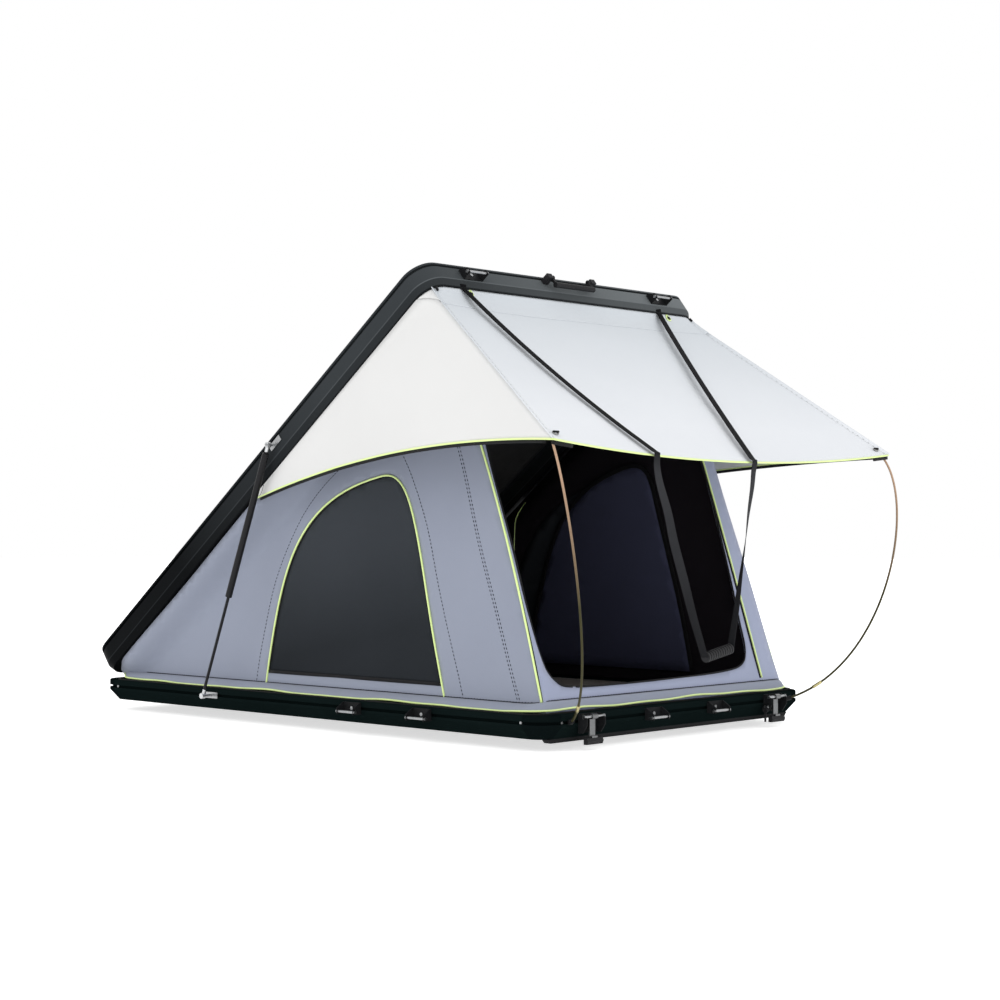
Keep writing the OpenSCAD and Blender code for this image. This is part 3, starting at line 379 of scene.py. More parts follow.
class Finish:
    def __init__(self, name):
        self.material = bpy.data.materials.new(name)
        self.material.use_nodes = True
        self.tree = self.material.node_tree
        self.tree.nodes.clear()
        self.place = self.node("ShaderNodeTexCoord", out="Object")

    def node(self, kind, settings=None, inputs=None, out=0):
        node = self.tree.nodes.new(kind)
        for key, value in (settings or {}).items():
            setattr(node, key, value)
        for key, value in (inputs or {}).items():
            if isinstance(value, Wire):
                self.tree.links.new(value.socket, node.inputs[key])
            else:
                node.inputs[key].default_value = value
        return Wire(self.tree, node.outputs[out]) if node.outputs else None

    def axes(self):
        return [self.node("ShaderNodeSeparateXYZ", None, {0: self.place}, k) for k in range(3)]

    def noise(self, scale, detail=3.0, rough=0.5, stretch=(1, 1, 1)):
        at = self.node("ShaderNodeMapping", None, {"Vector": self.place, "Scale": stretch})
        return self.node("ShaderNodeTexNoise", None,
                         {"Vector": at, "Scale": scale, "Detail": detail, "Roughness": rough})

    def blendColour(self, factor, dark, light):
        dark, light = (c if isinstance(c, Wire) else (*c, 1) for c in (dark, light))
        return self.node("ShaderNodeMix", {"data_type": "RGBA"}, {0: factor, 6: dark, 7: light}, 2)

    def bump(self, height, strength, distance):
        return self.node("ShaderNodeBump", None, {"Height": height, "Strength": strength, "Distance": distance})

    def done(self, colour, rough, normal=None, **fixed):
        inputs = {"Base Color": colour if isinstance(colour, Wire) else (*colour, 1), "Roughness": rough}
        if normal:
            inputs["Normal"] = normal
        inputs.update({key.replace("_", " "): value for key, value in fixed.items()})
        shader = self.node("ShaderNodeBsdfPrincipled", None, inputs)
        self.node("ShaderNodeOutputMaterial", None, {"Surface": shader})
        return self.material


def threads(finish, pitch, first, second):  # plain weave in the two axes that the cloth lies along
    axes = finish.axes()
    turn = 2 * pi / pitch
    warp, weft = (axes[first] * turn).sine(), (axes[second] * turn).sine()
    return warp * weft * 0.5 + 0.5


def canvas(name, dark, light, first, second, rough=0.85, sheen=0.15, shine=0.3, paintedShadeFade=None):
    # the last argument, when given, holds heights between which the cloth darkens to a third colour, as painted
    # shade
    finish = Finish(name)
    weave = threads(finish, 0.0022, first, second)
    slub = finish.noise(90, 2, 0.6, (1, 1, 6))
    cloudy = finish.noise(2.2, 4, 0.55)
    colour = finish.blendColour(cloudy * 0.75 + weave * 0.15 + slub * 0.10, dark, light)
    if paintedShadeFade:
        low, high, paintedShadeTone = paintedShadeFade
        colour = finish.blendColour(((finish.axes()[2] - low) * (1 / (high - low))).held(), colour, paintedShadeTone)
    normal = finish.bump(weave * 0.7 + slub * 0.5, 0.35, 0.0008)
    return finish.done(colour, rough - 0.1 * slub, normal, Sheen_Weight=sheen, Sheen_Roughness=0.5,
                       Specular_IOR_Level=shine)


def netting(name):
    finish = Finish(name)
    x, _, z = finish.axes()
    net = threads(finish, 0.0030, 0, 2)
    cloudy = finish.noise(1.6, 3, 0.5)
    # painted light and shade: the netting is paler towards the top and the rear and darker towards the bottom
    high = ((z - 0.25) * 1.7 - x * 0.35).held()
    colour = finish.blendColour(net * 0.15 + cloudy * 0.25 + high * 0.6, (0.006, 0.0075, 0.0095),
                                (0.066, 0.074, 0.086))
    return finish.done(colour, 0.75, finish.bump(net, 0.5, 0.0008), Specular_IOR_Level=0.06)


def piping(name):
    finish = Finish(name)
    fibre = finish.noise(420, 2, 0.5)
    broad = finish.noise(6, 2, 0.5)
    colour = finish.blendColour(fibre * 0.5 + broad * 0.5, (0.60, 0.78, 0.22), (0.82, 0.96, 0.46))
    return finish.done(colour, 0.55, finish.bump(fibre, 0.25, 0.0006), Sheen_Weight=0.2)


def ribbed(finish):  # woven ribs of a strap
    x, y, z = finish.axes()
    turn = 2100.0
    return ((x + z * 1.3) * turn).sine() * (y * turn).sine() * 0.5 + 0.5


def webbing(name, dark, light):
    finish = Finish(name)
    ribs, worn = ribbed(finish), finish.noise(14, 3, 0.6)
    colour = finish.blendColour(ribs * 0.4 + worn * 0.6, dark, light)
    return finish.done(colour, 0.62, finish.bump(ribs, 0.5, 0.0007), Sheen_Weight=0.02, Specular_IOR_Level=0.15)


def strapFinish(name):  # near black along the awning; where it hangs, painted light makes it greyer and painted shade darkens it lower down
    finish = Finish(name)
    ribs, worn = ribbed(finish), finish.noise(14, 3, 0.6)
    z = finish.axes()[2]
    # painted light and shade: greyer just below the awning's rim, darker again towards the bottom
    hungPaintedLight = ((0.87 - z) * 14.0).held() * (0.35 + 0.65 * ((z - 0.25) * 1.7).held())
    colour = finish.blendColour(hungPaintedLight * (0.6 + 0.4 * worn), (0.0035, 0.0035, 0.0045), (0.040, 0.041, 0.045))
    return finish.done(colour, 0.62, finish.bump(ribs, 0.5, 0.0007), Specular_IOR_Level=0.05)


def paint(finish):  # fine orange peel and broad unevenness of a sprayed coat
    return finish.noise(520, 2, 0.5), finish.noise(3, 4, 0.6)


def powderCoat(name, dark, light, rough=0.42, shine=0.06):
    finish = Finish(name)
    peel, broad = paint(finish)
    colour = finish.blendColour(broad * 0.8 + peel * 0.2, dark, light)
    return finish.done(colour, rough + 0.18 * broad, finish.bump(peel, 0.22, 0.0004), Specular_IOR_Level=shine)


def lidCoat(name):  # slate in front as painted light, darkening round to the sides as painted shade, with a dark bead, a bevel darkened as painted shade and a painted highlight along the arris
    finish = Finish(name)
    x, y, z = finish.axes()
    high = lidHeight(x, z)
    peel, broad = paint(finish)
    facing = finish.node("ShaderNodeTexCoord", out="Normal")
    nx, nz = (finish.node("ShaderNodeSeparateXYZ", None, {0: facing}, k) for k in (0, 2))
    # painted light: faces turned forward take the paler front colour, the others the dark side colour
    ahead = (nx * lidCos + nz * lidSin).held()
    along = (x - tent["hinge"][0]) * lidCos + (z - tent["hinge"][1]) * lidSin
    # painted light: the sides grow lighter towards the lid's front end, the front face towards its right end
    near = ((along - 0.60) * 1.05).held()
    flank = finish.blendColour(near * (0.8 + 0.2 * broad), (0.0034, 0.0041, 0.0048), (0.037, 0.042, 0.046))
    front = finish.blendColour(((y + 0.65) * 0.9).held() * (0.9 + 0.1 * broad), (0.046, 0.052, 0.056),
                               (0.146, 0.160, 0.167))
    face = finish.blendColour(ahead, flank, front)
    # painted highlight: a pale line along the arris, brighter on faces turned forward and towards the front
    arris = (1 - (high - 0.0250).size() * 420.0).held()
    # darker along the top bead; painted shade on the bevel and, darkest, along the bottom edge
    dark = (high.above(0.0750) * 0.25 + (1 - high.above(0.0225)) * 0.38 + (1 - high.above(0.0040)) * 0.45).held()
    colour = finish.blendColour(dark, face, (0.0040, 0.0045, 0.0050))
    edge = finish.blendColour((ahead + near * 0.5).held(), (0.024, 0.027, 0.030), (0.130, 0.142, 0.150))
    colour = finish.blendColour(arris * 0.7, colour, edge)
    return finish.done(colour, 0.42 + 0.18 * broad, finish.bump(peel, 0.22, 0.0004), Specular_IOR_Level=0.02)


def rodCoat(name):  # olive low down, with a pale bronze painted highlight towards the awning
    finish = Finish(name)
    z = finish.axes()[2]
    fleck = finish.noise(240, 2, 0.5)
    low = finish.blendColour(fleck, (0.020, 0.018, 0.003), (0.052, 0.047, 0.010))
    top = finish.blendColour(fleck, (0.330, 0.200, 0.125), (0.520, 0.360, 0.250))
    # painted highlight: the olive rod turns pale bronze from about 0.42 m upwards
    colour = finish.blendColour(((z - 0.42) * 2.6).held(), low, top)
    return finish.done(colour, 0.36 + 0.1 * fleck, finish.bump(fleck, 0.1, 0.0003), Specular_IOR_Level=0.2)


def steel(name, dark=(0.24, 0.245, 0.25), light=(0.52, 0.53, 0.54)):
    finish = Finish(name)
    brushed = finish.noise(160, 3, 0.6, (1, 8, 1))
    colour = finish.blendColour(brushed, dark, light)
    return finish.done(colour, 0.2 + 0.22 * brushed, finish.bump(brushed, 0.12, 0.0003), Metallic=1.0)


def moulded(name, dark, light, rough=0.5):
    finish = Finish(name)
    grain = finish.noise(700, 2, 0.6)
    broad = finish.noise(9, 3, 0.5)
    colour = finish.blendColour(grain * 0.4 + broad * 0.6, dark, light)
    return finish.done(colour, rough + 0.15 * grain, finish.bump(grain, 0.3, 0.0004), Specular_IOR_Level=0.15)


def strutFinish(name):  # black tube and rod, bright end fittings within reach of each stud
    finish = Finish(name)
    x, _, z = finish.axes()
    fleck = finish.noise(300, 2, 0.5)
    studs, reach = (onLid(1.225, 0, 0.059), vec(-0.426, 0, 0.0845)), 0.024
    upper, lower = (1 - ((x - at.x) ** 2.0 + (z - at.z) ** 2.0).above(reach ** 2) for at in studs)
    bright = upper + lower
    black = finish.blendColour(fleck, (0.006, 0.006, 0.007), (0.016, 0.016, 0.018))
    plated = finish.blendColour(fleck, (0.45, 0.46, 0.47), (0.75, 0.76, 0.77))
    colour = finish.blendColour(bright, black, plated)
    return finish.done(colour, 0.3 + 0.1 * fleck, finish.bump(fleck, 0.1, 0.0003), Metallic=bright,
                       Specular_IOR_Level=0.15)


finishes = {
    "wall": canvas("wallCanvas", (0.222, 0.245, 0.315), (0.280, 0.306, 0.380), 0, 2),
    # painted light: the front wall is a paler, bluer copy of the side walls' canvas
    "frontWall": canvas("frontWallCanvas", (0.270, 0.300, 0.420), (0.340, 0.375, 0.505), 1, 2),
    "lining": canvas("innerLining", (0.010, 0.008, 0.011), (0.015, 0.012, 0.016), 0, 2, 0.9, 0.02, 0.1),
    "inner": canvas("privacyPanel", (0.054, 0.058, 0.104), (0.070, 0.075, 0.132), 0, 2, 0.9, 0.02, 0.1),
    "mesh": netting("windowNetting"),
    "piping": piping("limePiping"),
    "thread": moulded("seamThread", (0.012, 0.013, 0.018), (0.034, 0.037, 0.048), 0.8),
    "binding": webbing("blackBinding", (0.004, 0.004, 0.005), (0.012, 0.012, 0.014)),
    "strap": strapFinish("strapWebbing"),
    # painted shade: the awning canvas darkens towards the lid, from 0.95 m up to 1.38 m
    "awning": canvas("awningCanvas", (0.68, 0.70, 0.735), (0.75, 0.77, 0.80), 0, 1, 0.8, 0.05, 0.2,
                     (0.95, 1.38, (0.55, 0.585, 0.62))),
    # painted shade: the wings and gussets use a darker, less blue copy of the awning canvas
    "wing": canvas("wingCanvas", (0.625, 0.625, 0.62), (0.695, 0.695, 0.69), 0, 2, 0.8, 0.05, 0.2),
    # painted shade: the inner faces of the awning and wings are a darker copy of the awning canvas; the hip
    # stitching uses it too
    "shade": canvas("awningUnderside", (0.50, 0.51, 0.50), (0.58, 0.59, 0.58), 0, 1, 0.8, 0.1),
    "mattress": canvas("mattressCover", (0.085, 0.072, 0.064), (0.150, 0.130, 0.118), 0, 1, 0.9, 0.05),
    "headliner": canvas("quiltedLining", (0.028, 0.028, 0.029), (0.044, 0.044, 0.045), 0, 1, 0.85, 0.02, 0.1),
    "rod": rodCoat("rodBronze"),
    "eyelet": steel("eyeletNickel", (0.20, 0.20, 0.20), (0.42, 0.42, 0.41)),
    "ferrule": steel("ferruleBrass", (0.38, 0.33, 0.14), (0.62, 0.56, 0.30)),
}
print("fabric finishes:", len(finishes))


# what the dressed pieces stand for and how they move
def standIn(node):
    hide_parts(node)


def carry(pieces, body, anchor):  # on a body
    for piece in pieces:
        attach(piece, body)
        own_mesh(piece)


# pull strap: two lengths of webbing from the lid's front edge, over the awning, to the grip
strap = {
    "halfWide": 0.013, "halfThick": 0.001, "lift": 0.0015, "overX": 1.267, "hangX": 1.263, "meet": 0.0015,
    "gripZ": 0.2725, "step": 0.012, "overRim": 0.003, "nearRim": (-0.012, 0, 0.009), "turnFrom": 0.006,
    "sewn": 0.45, "foot": 0.1, "leave": -0.12,  # shares of the lid's bevel
    "sides": [
        {"name": "pull_strap_left", "root": -0.506, "over": -0.404, "grip": (-0.176, 0.262), "turn": 1,
         "slack": (-0.016, -0.012)},
        {"name": "pull_strap_right", "root": 0.443, "over": 0.069, "grip": (-0.052, 0.283), "turn": -1,
         "slack": (-0.006, -0.006)},
    ],
    "hang": [(0.02, 0.06), (0.08, 0.145), (0.24, 0.285), (0.36, 0.425),
             (0.55, 0.60), (0.75, 0.79), (0.90, 0.915), (1, 1)],  # shares across and down
}
awning = {
    "corner": vec(1.253, 0.835, 0.882), "sag": 0.042, "belly": 0.018, "thick": 0.002, "long": 0.84,
    "root": onLid(tent["lidFront"] - tent["lidRail"] + 0.007, tent["lidSide"] - tent["lidRail"], -0.001),
    "underLid": -0.0012,
    "turn": (0.080, 0.0665),  # radius of the lid's corner, and of the valance's foot round it
    "wrap": 0.06,  # how far the gussets follow the lid's corners
    "valance": 0.10,  # the valance's share of the panel
    "valanceThick": 0.0010, "valanceCut": (1.30, 0.09),
}


def headAt(t):  # along the foot of the lid's front bevel, and round its corners past the ends
    corner, radius = awning["turn"]
    half = awning["root"].y
    y = mix(-half, half, t)
    turn = asin(max(0.0, min(abs(y), half) - tent["lidSide"] + corner) / radius)
    turn = mix(turn, pi / 2, max(-t, t - 1, 0.0) / awning["wrap"])
    if turn > 0:
        y = copysign(tent["lidSide"] - corner + radius * sin(turn), y)
    return onLid(tent["lidFront"] - corner + radius * cos(turn), y, awning["underLid"])


def onBevel(y, t):
    out = vec(tent["bevelHigh"], -tent["bevelIn"]).normalized() * strap["lift"]
    return onLid(tent["lidFront"] - tent["bevelIn"] * (1 - t) + out.x, y, tent["bevelHigh"] * t + out.y)


def rimZ(y):
    half = awning["corner"].y
    return awning["corner"].z - awning["sag"] * arch((y + half) / (2 * half))


def strapRoute(side):
    bend = onBevel(side["root"], strap["leave"])
    over = vec(strap["overX"], side["over"], rimZ(side["over"]) + strap["overRim"])
    y, z = side["grip"]
    end = vec(strap["hangX"], y - strap["meet"] * side["turn"], z + strap["meet"] / 3)
    slack, nearRim = vec(0, *side["slack"]), over + vec(*strap["nearRim"])
    route = [onBevel(side["root"], strap["sewn"]), onBevel(side["root"], strap["foot"])]
    route += [mix(bend, nearRim, k / 6) + slack * arch(k / 6) for k in range(7)]
    route.append(over)
    route += [vec(end.x, mix(over.y, end.y, a), mix(over.z, end.z, b)) for a, b in strap["hang"]]
    return route, over


strapBend = onBevel(0, strap["foot"])
for side in strap["sides"]:
    route, over = strapRoute(side)
    path = smoothPath(route, strap["step"])
    total = pathLength(path)
    last = len(path) - 1
    start = next(i for i, p in enumerate(path) if p.x > over.x - strap["turnFrom"]) / last
    across = []
    for i in range(len(path)):
        share = clamp((i / last - start) / (1 - start))
        across.append(mix(vec(0, 1, 0), vec(side["turn"], 0, 0), share).normalized())
    band = sweep(side["name"] + "_webbing", path, across, strap["halfWide"], strap["halfThick"], "strap", 12, 5.0)
    standIn(side["name"])
    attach(band, "strap")
    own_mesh(band)
    print("strap", side["name"], round(total, 3), "m")


# fabric walls: the sides draw in between tray and lid, the front bows out a little
walls = {
    "out": 0.5983, "thick": 0.003, "pitch": 0.022, "footIn": 0.014, "drawIn": 0.026, "drawOver": 1.28,
    "rearX": -0.9857, "rearU": 0.062, "frontU": 2.0, "headIn": 0.076, "frontIn": 0.005, "railGap": 0.005,
    "topH": -0.004, "footZ": 0.1092,
    "frontFoot": vec(1.004, 0, 0.1095), "frontBow": 0.018, "frontTopH": 0.062,
    "waves": [(0.0016, 7.0, 3.0, 0.4), (0.0011, 3.0, 11.0, 1.7), (0.0007, 17.0, -9.0, 0.9)],
    "atLid": 0.642, "flareOver": 0.10,
    "flareRise": 14, "waveRise": 8,  # how fast the flare and the waves grow above the tray
    "lean": 0.1, "foldY": 0.585,  # a lean and a fold line for the side walls; no fold is made here
}
frontHead = onLid(tent["lidFront"] - tent["lidRail"] - tent["lidLedge"] / 2, 0, walls["frontTopH"])
frontRun = frontHead - walls["frontFoot"]
frontTall = frontRun.length
frontUp = frontRun.normalized()
frontOut = vec(frontUp.z, 0, -frontUp.x)


def halfAt(x, z):  # half width between the side walls' outer faces, wider where they meet the lid's rails
    up = z - tent["trayTop"]
    half = walls["out"] - walls["footIn"] - walls["drawIn"] * sin(pi * clamp(up / walls["drawOver"]))
    near = clamp(1 + lidHeight(x, z) / walls["flareOver"])
    return mix(half, walls["atLid"], near * near * (3 - 2 * near) * clamp(up * walls["flareRise"]))


def onFront(y, s, proud=0.0):  # s runs up the front wall
    bow = walls["frontBow"] * sin(pi * clamp(s / frontTall)) + proud
    return walls["frontFoot"] + vec(0, y, 0) + frontUp * s + frontOut * bow


def onSide(side, x, z, proud=0.0):
    wave = ripple(x, z, walls["waves"]) * clamp((z - tent["trayTop"]) * walls["waveRise"])
    return vec(x, side * (halfAt(x, z) + wave + proud), z)


def sidePath(side, points, step, proud):
    path = smoothPath([vec(x, z, 0) for x, z in points], step)
    return [onSide(side, p.x, p.y, proud) for p in path]


def inWall(path):  # keeps a flat tape in the wall's plane
    across = [(b - a).cross(vec(0, 1, 0)) for a, b in zip(path, path[1:])]
    return across + across[-1:]


def carryWall(pieces, side=0):
    anchor = (0, walls["foldY"] * side, tent["trayTop"])
    carry(pieces, "base", anchor=anchor)


def sideOutline():
    front = [onFront(0, frontTall * k / 20) for k in range(21)]
    below = onLid(walls["frontU"], 0, walls["topH"]).z
    outline = [(walls["rearX"], walls["footZ"])]
    outline += [(p.x - walls["frontIn"], max(p.z, walls["footZ"])) for p in front if p.z < below]
    for u in (tent["lidFront"] - walls["headIn"], walls["rearU"]):
        p = onLid(u, 0, walls["topH"])
        outline.append((p.x, p.z))
    rearHead = onLid((walls["rearX"] - tent["hinge"][0]) / lidCos, 0, 0).z + walls["topH"]
    outline.append((walls["rearX"], rearHead))
    return outline


window = {
    "rear": [vec(-0.226, 0.12), vec(-0.19, 0.50), vec(-0.10, 0.735), vec(0.288, 0.802)],
    "front": [vec(0.288, 0.802), vec(0.455, 0.835), vec(0.435, 0.60), vec(0.598, 0.126)],
    "steps": 26, "sill": 0.167, "overSill": 0.004, "rearOut": 0.006, "frontOut": 0.004,
    "inset": 0.0025, "pitch": 0.03, "thick": 0.0015, "pipe": 0.0032, "pipeProud": 0.0028,
    "hem": (0.0055, 0.0022), "hemUp": 0.0035, "hemIn": 0.006, "hemProud": 0.0012,
    "binding": (0.0085, 0.0012), "shadowBandProud": -0.0010,
}


def windowCurve():
    steps = window["steps"]
    rear = [bezier(*window["rear"], k / steps) for k in range(steps)]
    return rear + [bezier(*window["front"], k / steps) for k in range(steps + 1)]


def windowHole():  # the curve above the sill
    sill = window["sill"]
    above = [tuple(p) for p in windowCurve() if p.y > sill + window["overSill"]]
    return [(above[0][0] - window["rearOut"], sill)] + above + [(above[-1][0] + window["frontOut"], sill)]


seams = {
    "rear": [(-0.276, 0.136), (-0.255, 0.273), (-0.199, 0.471), (-0.082, 0.667), (0.038, 0.784), (0.16, 0.862)],
    "front": [(0.36, 0.90), (0.4125, 0.833), (0.490, 0.665), (0.546, 0.485), (0.609, 0.307), (0.672, 0.140)],
    "corner": [(0.575, 1.06), (0.642, 0.846), (0.712, 0.606), (0.8015, 0.373), (0.8935, 0.140)],
    "twin": 0.009, "step": 0.05, "pitch": 0.011, "thread": (0.0095, 0.0018), "proud": 0.0017,
}
innerPanel = {
    "edge": [(-0.082, 0.150), (-0.090, 0.193), (-0.071, 0.304), (-0.031, 0.433), (-0.002, 0.524), (0.051, 0.633),
             (0.113, 0.712), (0.208, 0.787), (0.323, 0.838), (0.405, 0.858), (0.455, 0.842), (0.487, 0.790),
             (0.525, 0.668), (0.572, 0.496), (0.620, 0.292), (0.645, 0.150)],
    "inset": 0.012, "step": 0.02, "pitch": 0.03, "thick": 0.0015, "tape": (0.0085, 0.0014), "tapeIn": 0.0015,
    "tie": [(-0.151, 0.735), (-0.160, 0.640), (-0.167, 0.520), (-0.172, 0.405)], "tieRadius": 0.0022,
}
for side, word in leftRight:
    out = vec(0, side, 0)
    hole = windowHole()
    wall, cut, area = clothPanel("wall_" + word, sideOutline(), [hole], walls["pitch"],
                                 lambda x, z: onSide(side, x, z), out, walls["thick"], ["wall", "lining"])
    net, netCut, netArea = clothPanel("window_net_" + word, hole, [], window["pitch"],
                                      lambda x, z: onSide(side, x, z, -window["inset"]), out,
                                      window["thick"], ["mesh"])
    curve = evenPath([onSide(side, p.x, p.y, window["pipeProud"]) for p in windowCurve()], 0.014)
    trims = [tube("window_piping_" + word, curve, window["pipe"], "piping")]
    # a real hem along the sill, made black as a painted shadow line
    lap = [onSide(side, x, window["sill"] + window["hemUp"], window["hemProud"])
           for x in (hole[0][0] + window["hemIn"], hole[-1][0] - window["hemIn"])]
    trims.append(sweep("window_sill_hem_" + word, evenPath(lap, 0.03), vec(0, 0, 1), *window["hem"], "binding"))
    # painted shade: a dark band just inside the piping on the window's rear half stands for the shadow gap between
    # piping and netting
    rearHalf = [p for p in windowCurve()[:window["steps"] + 1] if p.y > window["sill"]]
    binding = evenPath([onSide(side, p.x, p.y, window["shadowBandProud"]) for p in rearHalf], 0.02)
    trims.append(sweep("window_inner_binding_" + word, binding, inWall(binding), *window["binding"], "binding"))
    lines = [seams["rear"], seams["front"], seams["corner"], [(x + seams["twin"], z) for x, z in seams["corner"]]]
    rows = [sidePath(side, line, seams["step"], seams["proud"]) for line in lines]
    trims.append(stitches("wall_stitching_" + word, rows, seams["pitch"], seams["thread"], "thread"))
    edge = [(p.x, p.y) for p in smoothPath([vec(x, z, 0) for x, z in innerPanel["edge"]], innerPanel["step"])]
    flap, flapCut, flapArea = clothPanel("privacy_panel_" + word, edge, [], innerPanel["pitch"],
                                         lambda x, z: onSide(side, x, z, -innerPanel["inset"]), out,
                                         innerPanel["thick"], ["inner"])
    behind = -innerPanel["inset"] - innerPanel["tapeIn"]
    tape = evenPath([onSide(side, x, z, behind) for x, z in edge], innerPanel["step"])
    trims.append(sweep("privacy_zip_tape_" + word, tape, inWall(tape), *innerPanel["tape"], "binding"))
    tie = sidePath(side, innerPanel["tie"], innerPanel["step"], -innerPanel["inset"])
    trims.append(tube("privacy_tie_" + word, tie, innerPanel["tieRadius"], "piping", 6))
    carryWall([wall, net, flap] + trims, side=side)
    standIn("tent_wall_" + word)
    standIn("window_mesh_" + word)
    print("wall", word, [round(c, 3) for c in cut], round(area, 3))

# front wall with the door standing open
door = {
    "edge": [(-0.43, 0.070), (0.02, 0.069), (0.30, 0.078), (0.405, 0.098), (0.440, 0.15), (0.447, 0.23),
             (0.460, 0.36), (0.475, 0.55), (0.488, 0.78), (0.452, 0.95), (0.32, 1.06), (0.0, 1.10),
             (-0.36, 1.07), (-0.515, 0.95), (-0.551, 0.78), (-0.553, 0.50), (-0.557, 0.30), (-0.548, 0.16),
             (-0.520, 0.10)],
    "step": 0.022, "zip": 0.0030, "zipProud": 0.001,
    "flapPiping": [(0.4846, 0.045), (0.4876, 0.436), (0.4986, 0.819), (0.497, 1.0)], "flapProud": 0.004,
    "flapPipe": 0.0029, "flapZip": 0.0026, "flapZipAside": 0.0062, "flapZipBehind": 0.002,
}
cornerPiping = {"pipe": 0.0034, "count": 60, "foot": 0.035, "head": 0.01, "proud": -0.006, "out": 0.0025,
                "underLid": -0.008}
doorLoop = [(p.x, p.y) for p in smoothPath([vec(y, s, 0) for y, s in door["edge"]], door["step"], True)[:-1]]
frontOutline = []
for k in range(25):
    s = frontTall * k / 24
    p = onFront(0, s)
    frontOutline.append((min(halfAt(p.x, p.z), tent["lidSide"] - tent["lidRail"] - walls["railGap"]), s))
frontOutline += [(-y, s) for y, s in reversed(frontOutline)]


def onRippledFront(y, s):
    return onFront(y, s, ripple(y, s, walls["waves"]) * clamp(s * walls["waveRise"]))


frontPanel, cut, area = clothPanel("wall_front", frontOutline, [doorLoop], walls["pitch"], onRippledFront,
                                   frontOut, walls["thick"], ["frontWall", "lining"])
zipPath = [onFront(y, s, door["zipProud"]) for y, s in doorLoop]
zipPath = evenPath(zipPath + zipPath[:1], 0.015)[:-1]
flapPath = smoothPath([onFront(y, s, door["flapProud"]) for y, s in door["flapPiping"]], 0.02)
flapZip = [p - vec(0, door["flapZipAside"], 0) - frontOut * door["flapZipBehind"] for p in flapPath]
frontTrims = [tube("door_zip_edge", zipPath, door["zip"], "binding", 8),
              tube("door_flap_piping", flapPath, door["flapPipe"], "piping"),
              tube("door_flap_zip", flapZip, door["flapZip"], "binding", 8)]
for side, word in leftRight:
    line = []
    for k in range(cornerPiping["count"]):
        s = mix(cornerPiping["foot"], frontTall - cornerPiping["head"], k / (cornerPiping["count"] - 1))
        p = onFront(0, s, cornerPiping["proud"])
        if lidHeight(p.x, p.z) < cornerPiping["underLid"]:
            line.append(vec(p.x, side * (halfAt(p.x, p.z) + cornerPiping["out"]), p.z))
    frontTrims.append(tube("corner_piping_" + word, line, cornerPiping["pipe"], "piping"))
carryWall([frontPanel] + frontTrims)
standIn("tent_wall_front")
print("front wall", [round(c, 3) for c in cut], round(area, 3))

# skirt sewn round the foot of the walls, its piped hem lying in waves on the tray
skirt = {
    "fold": {"side": 0.5865, "front": 1.000, "radius": 0.030, "z": 0.134},
    "hem": {"side": 0.632, "front": 1.014, "radius": 0.075, "z": 0.1135},
    "rear": -0.975, "along": 90, "round": 10, "across": 60, "rows": 5, "thick": 0.0016, "belly": 0.006,
    "waves": [(0.0024, 9.5, 0, 0.3), (0.0014, 23.0, 0, 1.1)], "overTray": 0.0042,
    "frontRise": 0.010, "riseFrom": 0.90, "riseOver": 0.12,
    "curlFrom": -0.93, "curlOver": 0.045, "curlUp": 0.012, "curlIn": 0.05,  # turned up at the rear ends
    "pipe": 0.0030, "tape": 0.0011, "tapeUp": 0.001, "thread": (0.008, 0.0012), "threadUp": 0.0022, "pitch": 0.010,
}


def skirtLine(line):
    side, front, radius, z = line["side"], line["front"], line["radius"], line["z"]
    points = [vec(mix(skirt["rear"], front - radius, k / skirt["along"]), -side, z) for k in range(skirt["along"])]
    for k in range(skirt["round"] + 1):
        a = radians(-90 + 90 * k / skirt["round"])
        points.append(vec(front - radius + radius * cos(a), -side + radius + radius * sin(a), z))
    middle = [vec(front, mix(-side + radius, side - radius, k / skirt["across"]), z)
              for k in range(1, skirt["across"])]
    return points + middle + [vec(p.x, -p.y, p.z) for p in reversed(points)]


foldLine, hemLine = skirtLine(skirt["fold"]), skirtLine(skirt["hem"])
walk = 0.0
for i, p in enumerate(hemLine):
    if i:
        walk += (p - hemLine[i - 1]).length
    lift = clamp((p.x - skirt["riseFrom"]) / skirt["riseOver"])
    p.z += ripple(walk, 0, skirt["waves"]) + 0.5 * skirt["frontRise"] * lift * (1 - abs(p.y) * 0.4)
    p.z = max(p.z, tent["trayTop"] + skirt["overTray"])
    foldLine[i].z += skirt["frontRise"] * lift
    curl = clamp((skirt["curlFrom"] - p.x) / skirt["curlOver"])
    p.z += skirt["curlUp"] * curl
    p.y *= 1 - skirt["curlIn"] * curl


def onSkirt(s, t):
    i = round(t * (len(foldLine) - 1))
    return mix(foldLine[i], hemLine[i], s) + vec(0, 0, skirt["belly"] * arch(s))


def overFold(up, step):
    return evenPath([p + vec(0, 0, up) for p in foldLine], step)


skirtPiece, area = clothGrid("wall_skirt", skirt["rows"], len(foldLine) - 1, onSkirt,
                             lambda s, t: vec(0, 0, -skirt["thick"]), ["wall"])
skirtTrims = [
    tube("skirt_hem_piping", evenPath(hemLine, 0.012), skirt["pipe"], "piping"),
    stitches("skirt_stitching", [overFold(skirt["threadUp"], 0.06)], skirt["pitch"], skirt["thread"], "thread"),
    tube("skirt_fold_tape", overFold(skirt["tapeUp"], 0.03), skirt["tape"], "thread", 6),
]
carryWall([skirtPiece] + skirtTrims)
skirtLong = pathLength(hemLine)
area / skirtLong
print("skirt", round(skirtLong, 3), "m")

# low rear wall between the hinge and the floor
rearWall = {"rows": 6, "cols": 60, "thick": 0.002, "gap": 0.0005, "belly": 0.004, "pleats": 19}
rearLow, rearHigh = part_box("tent_wall_rear")


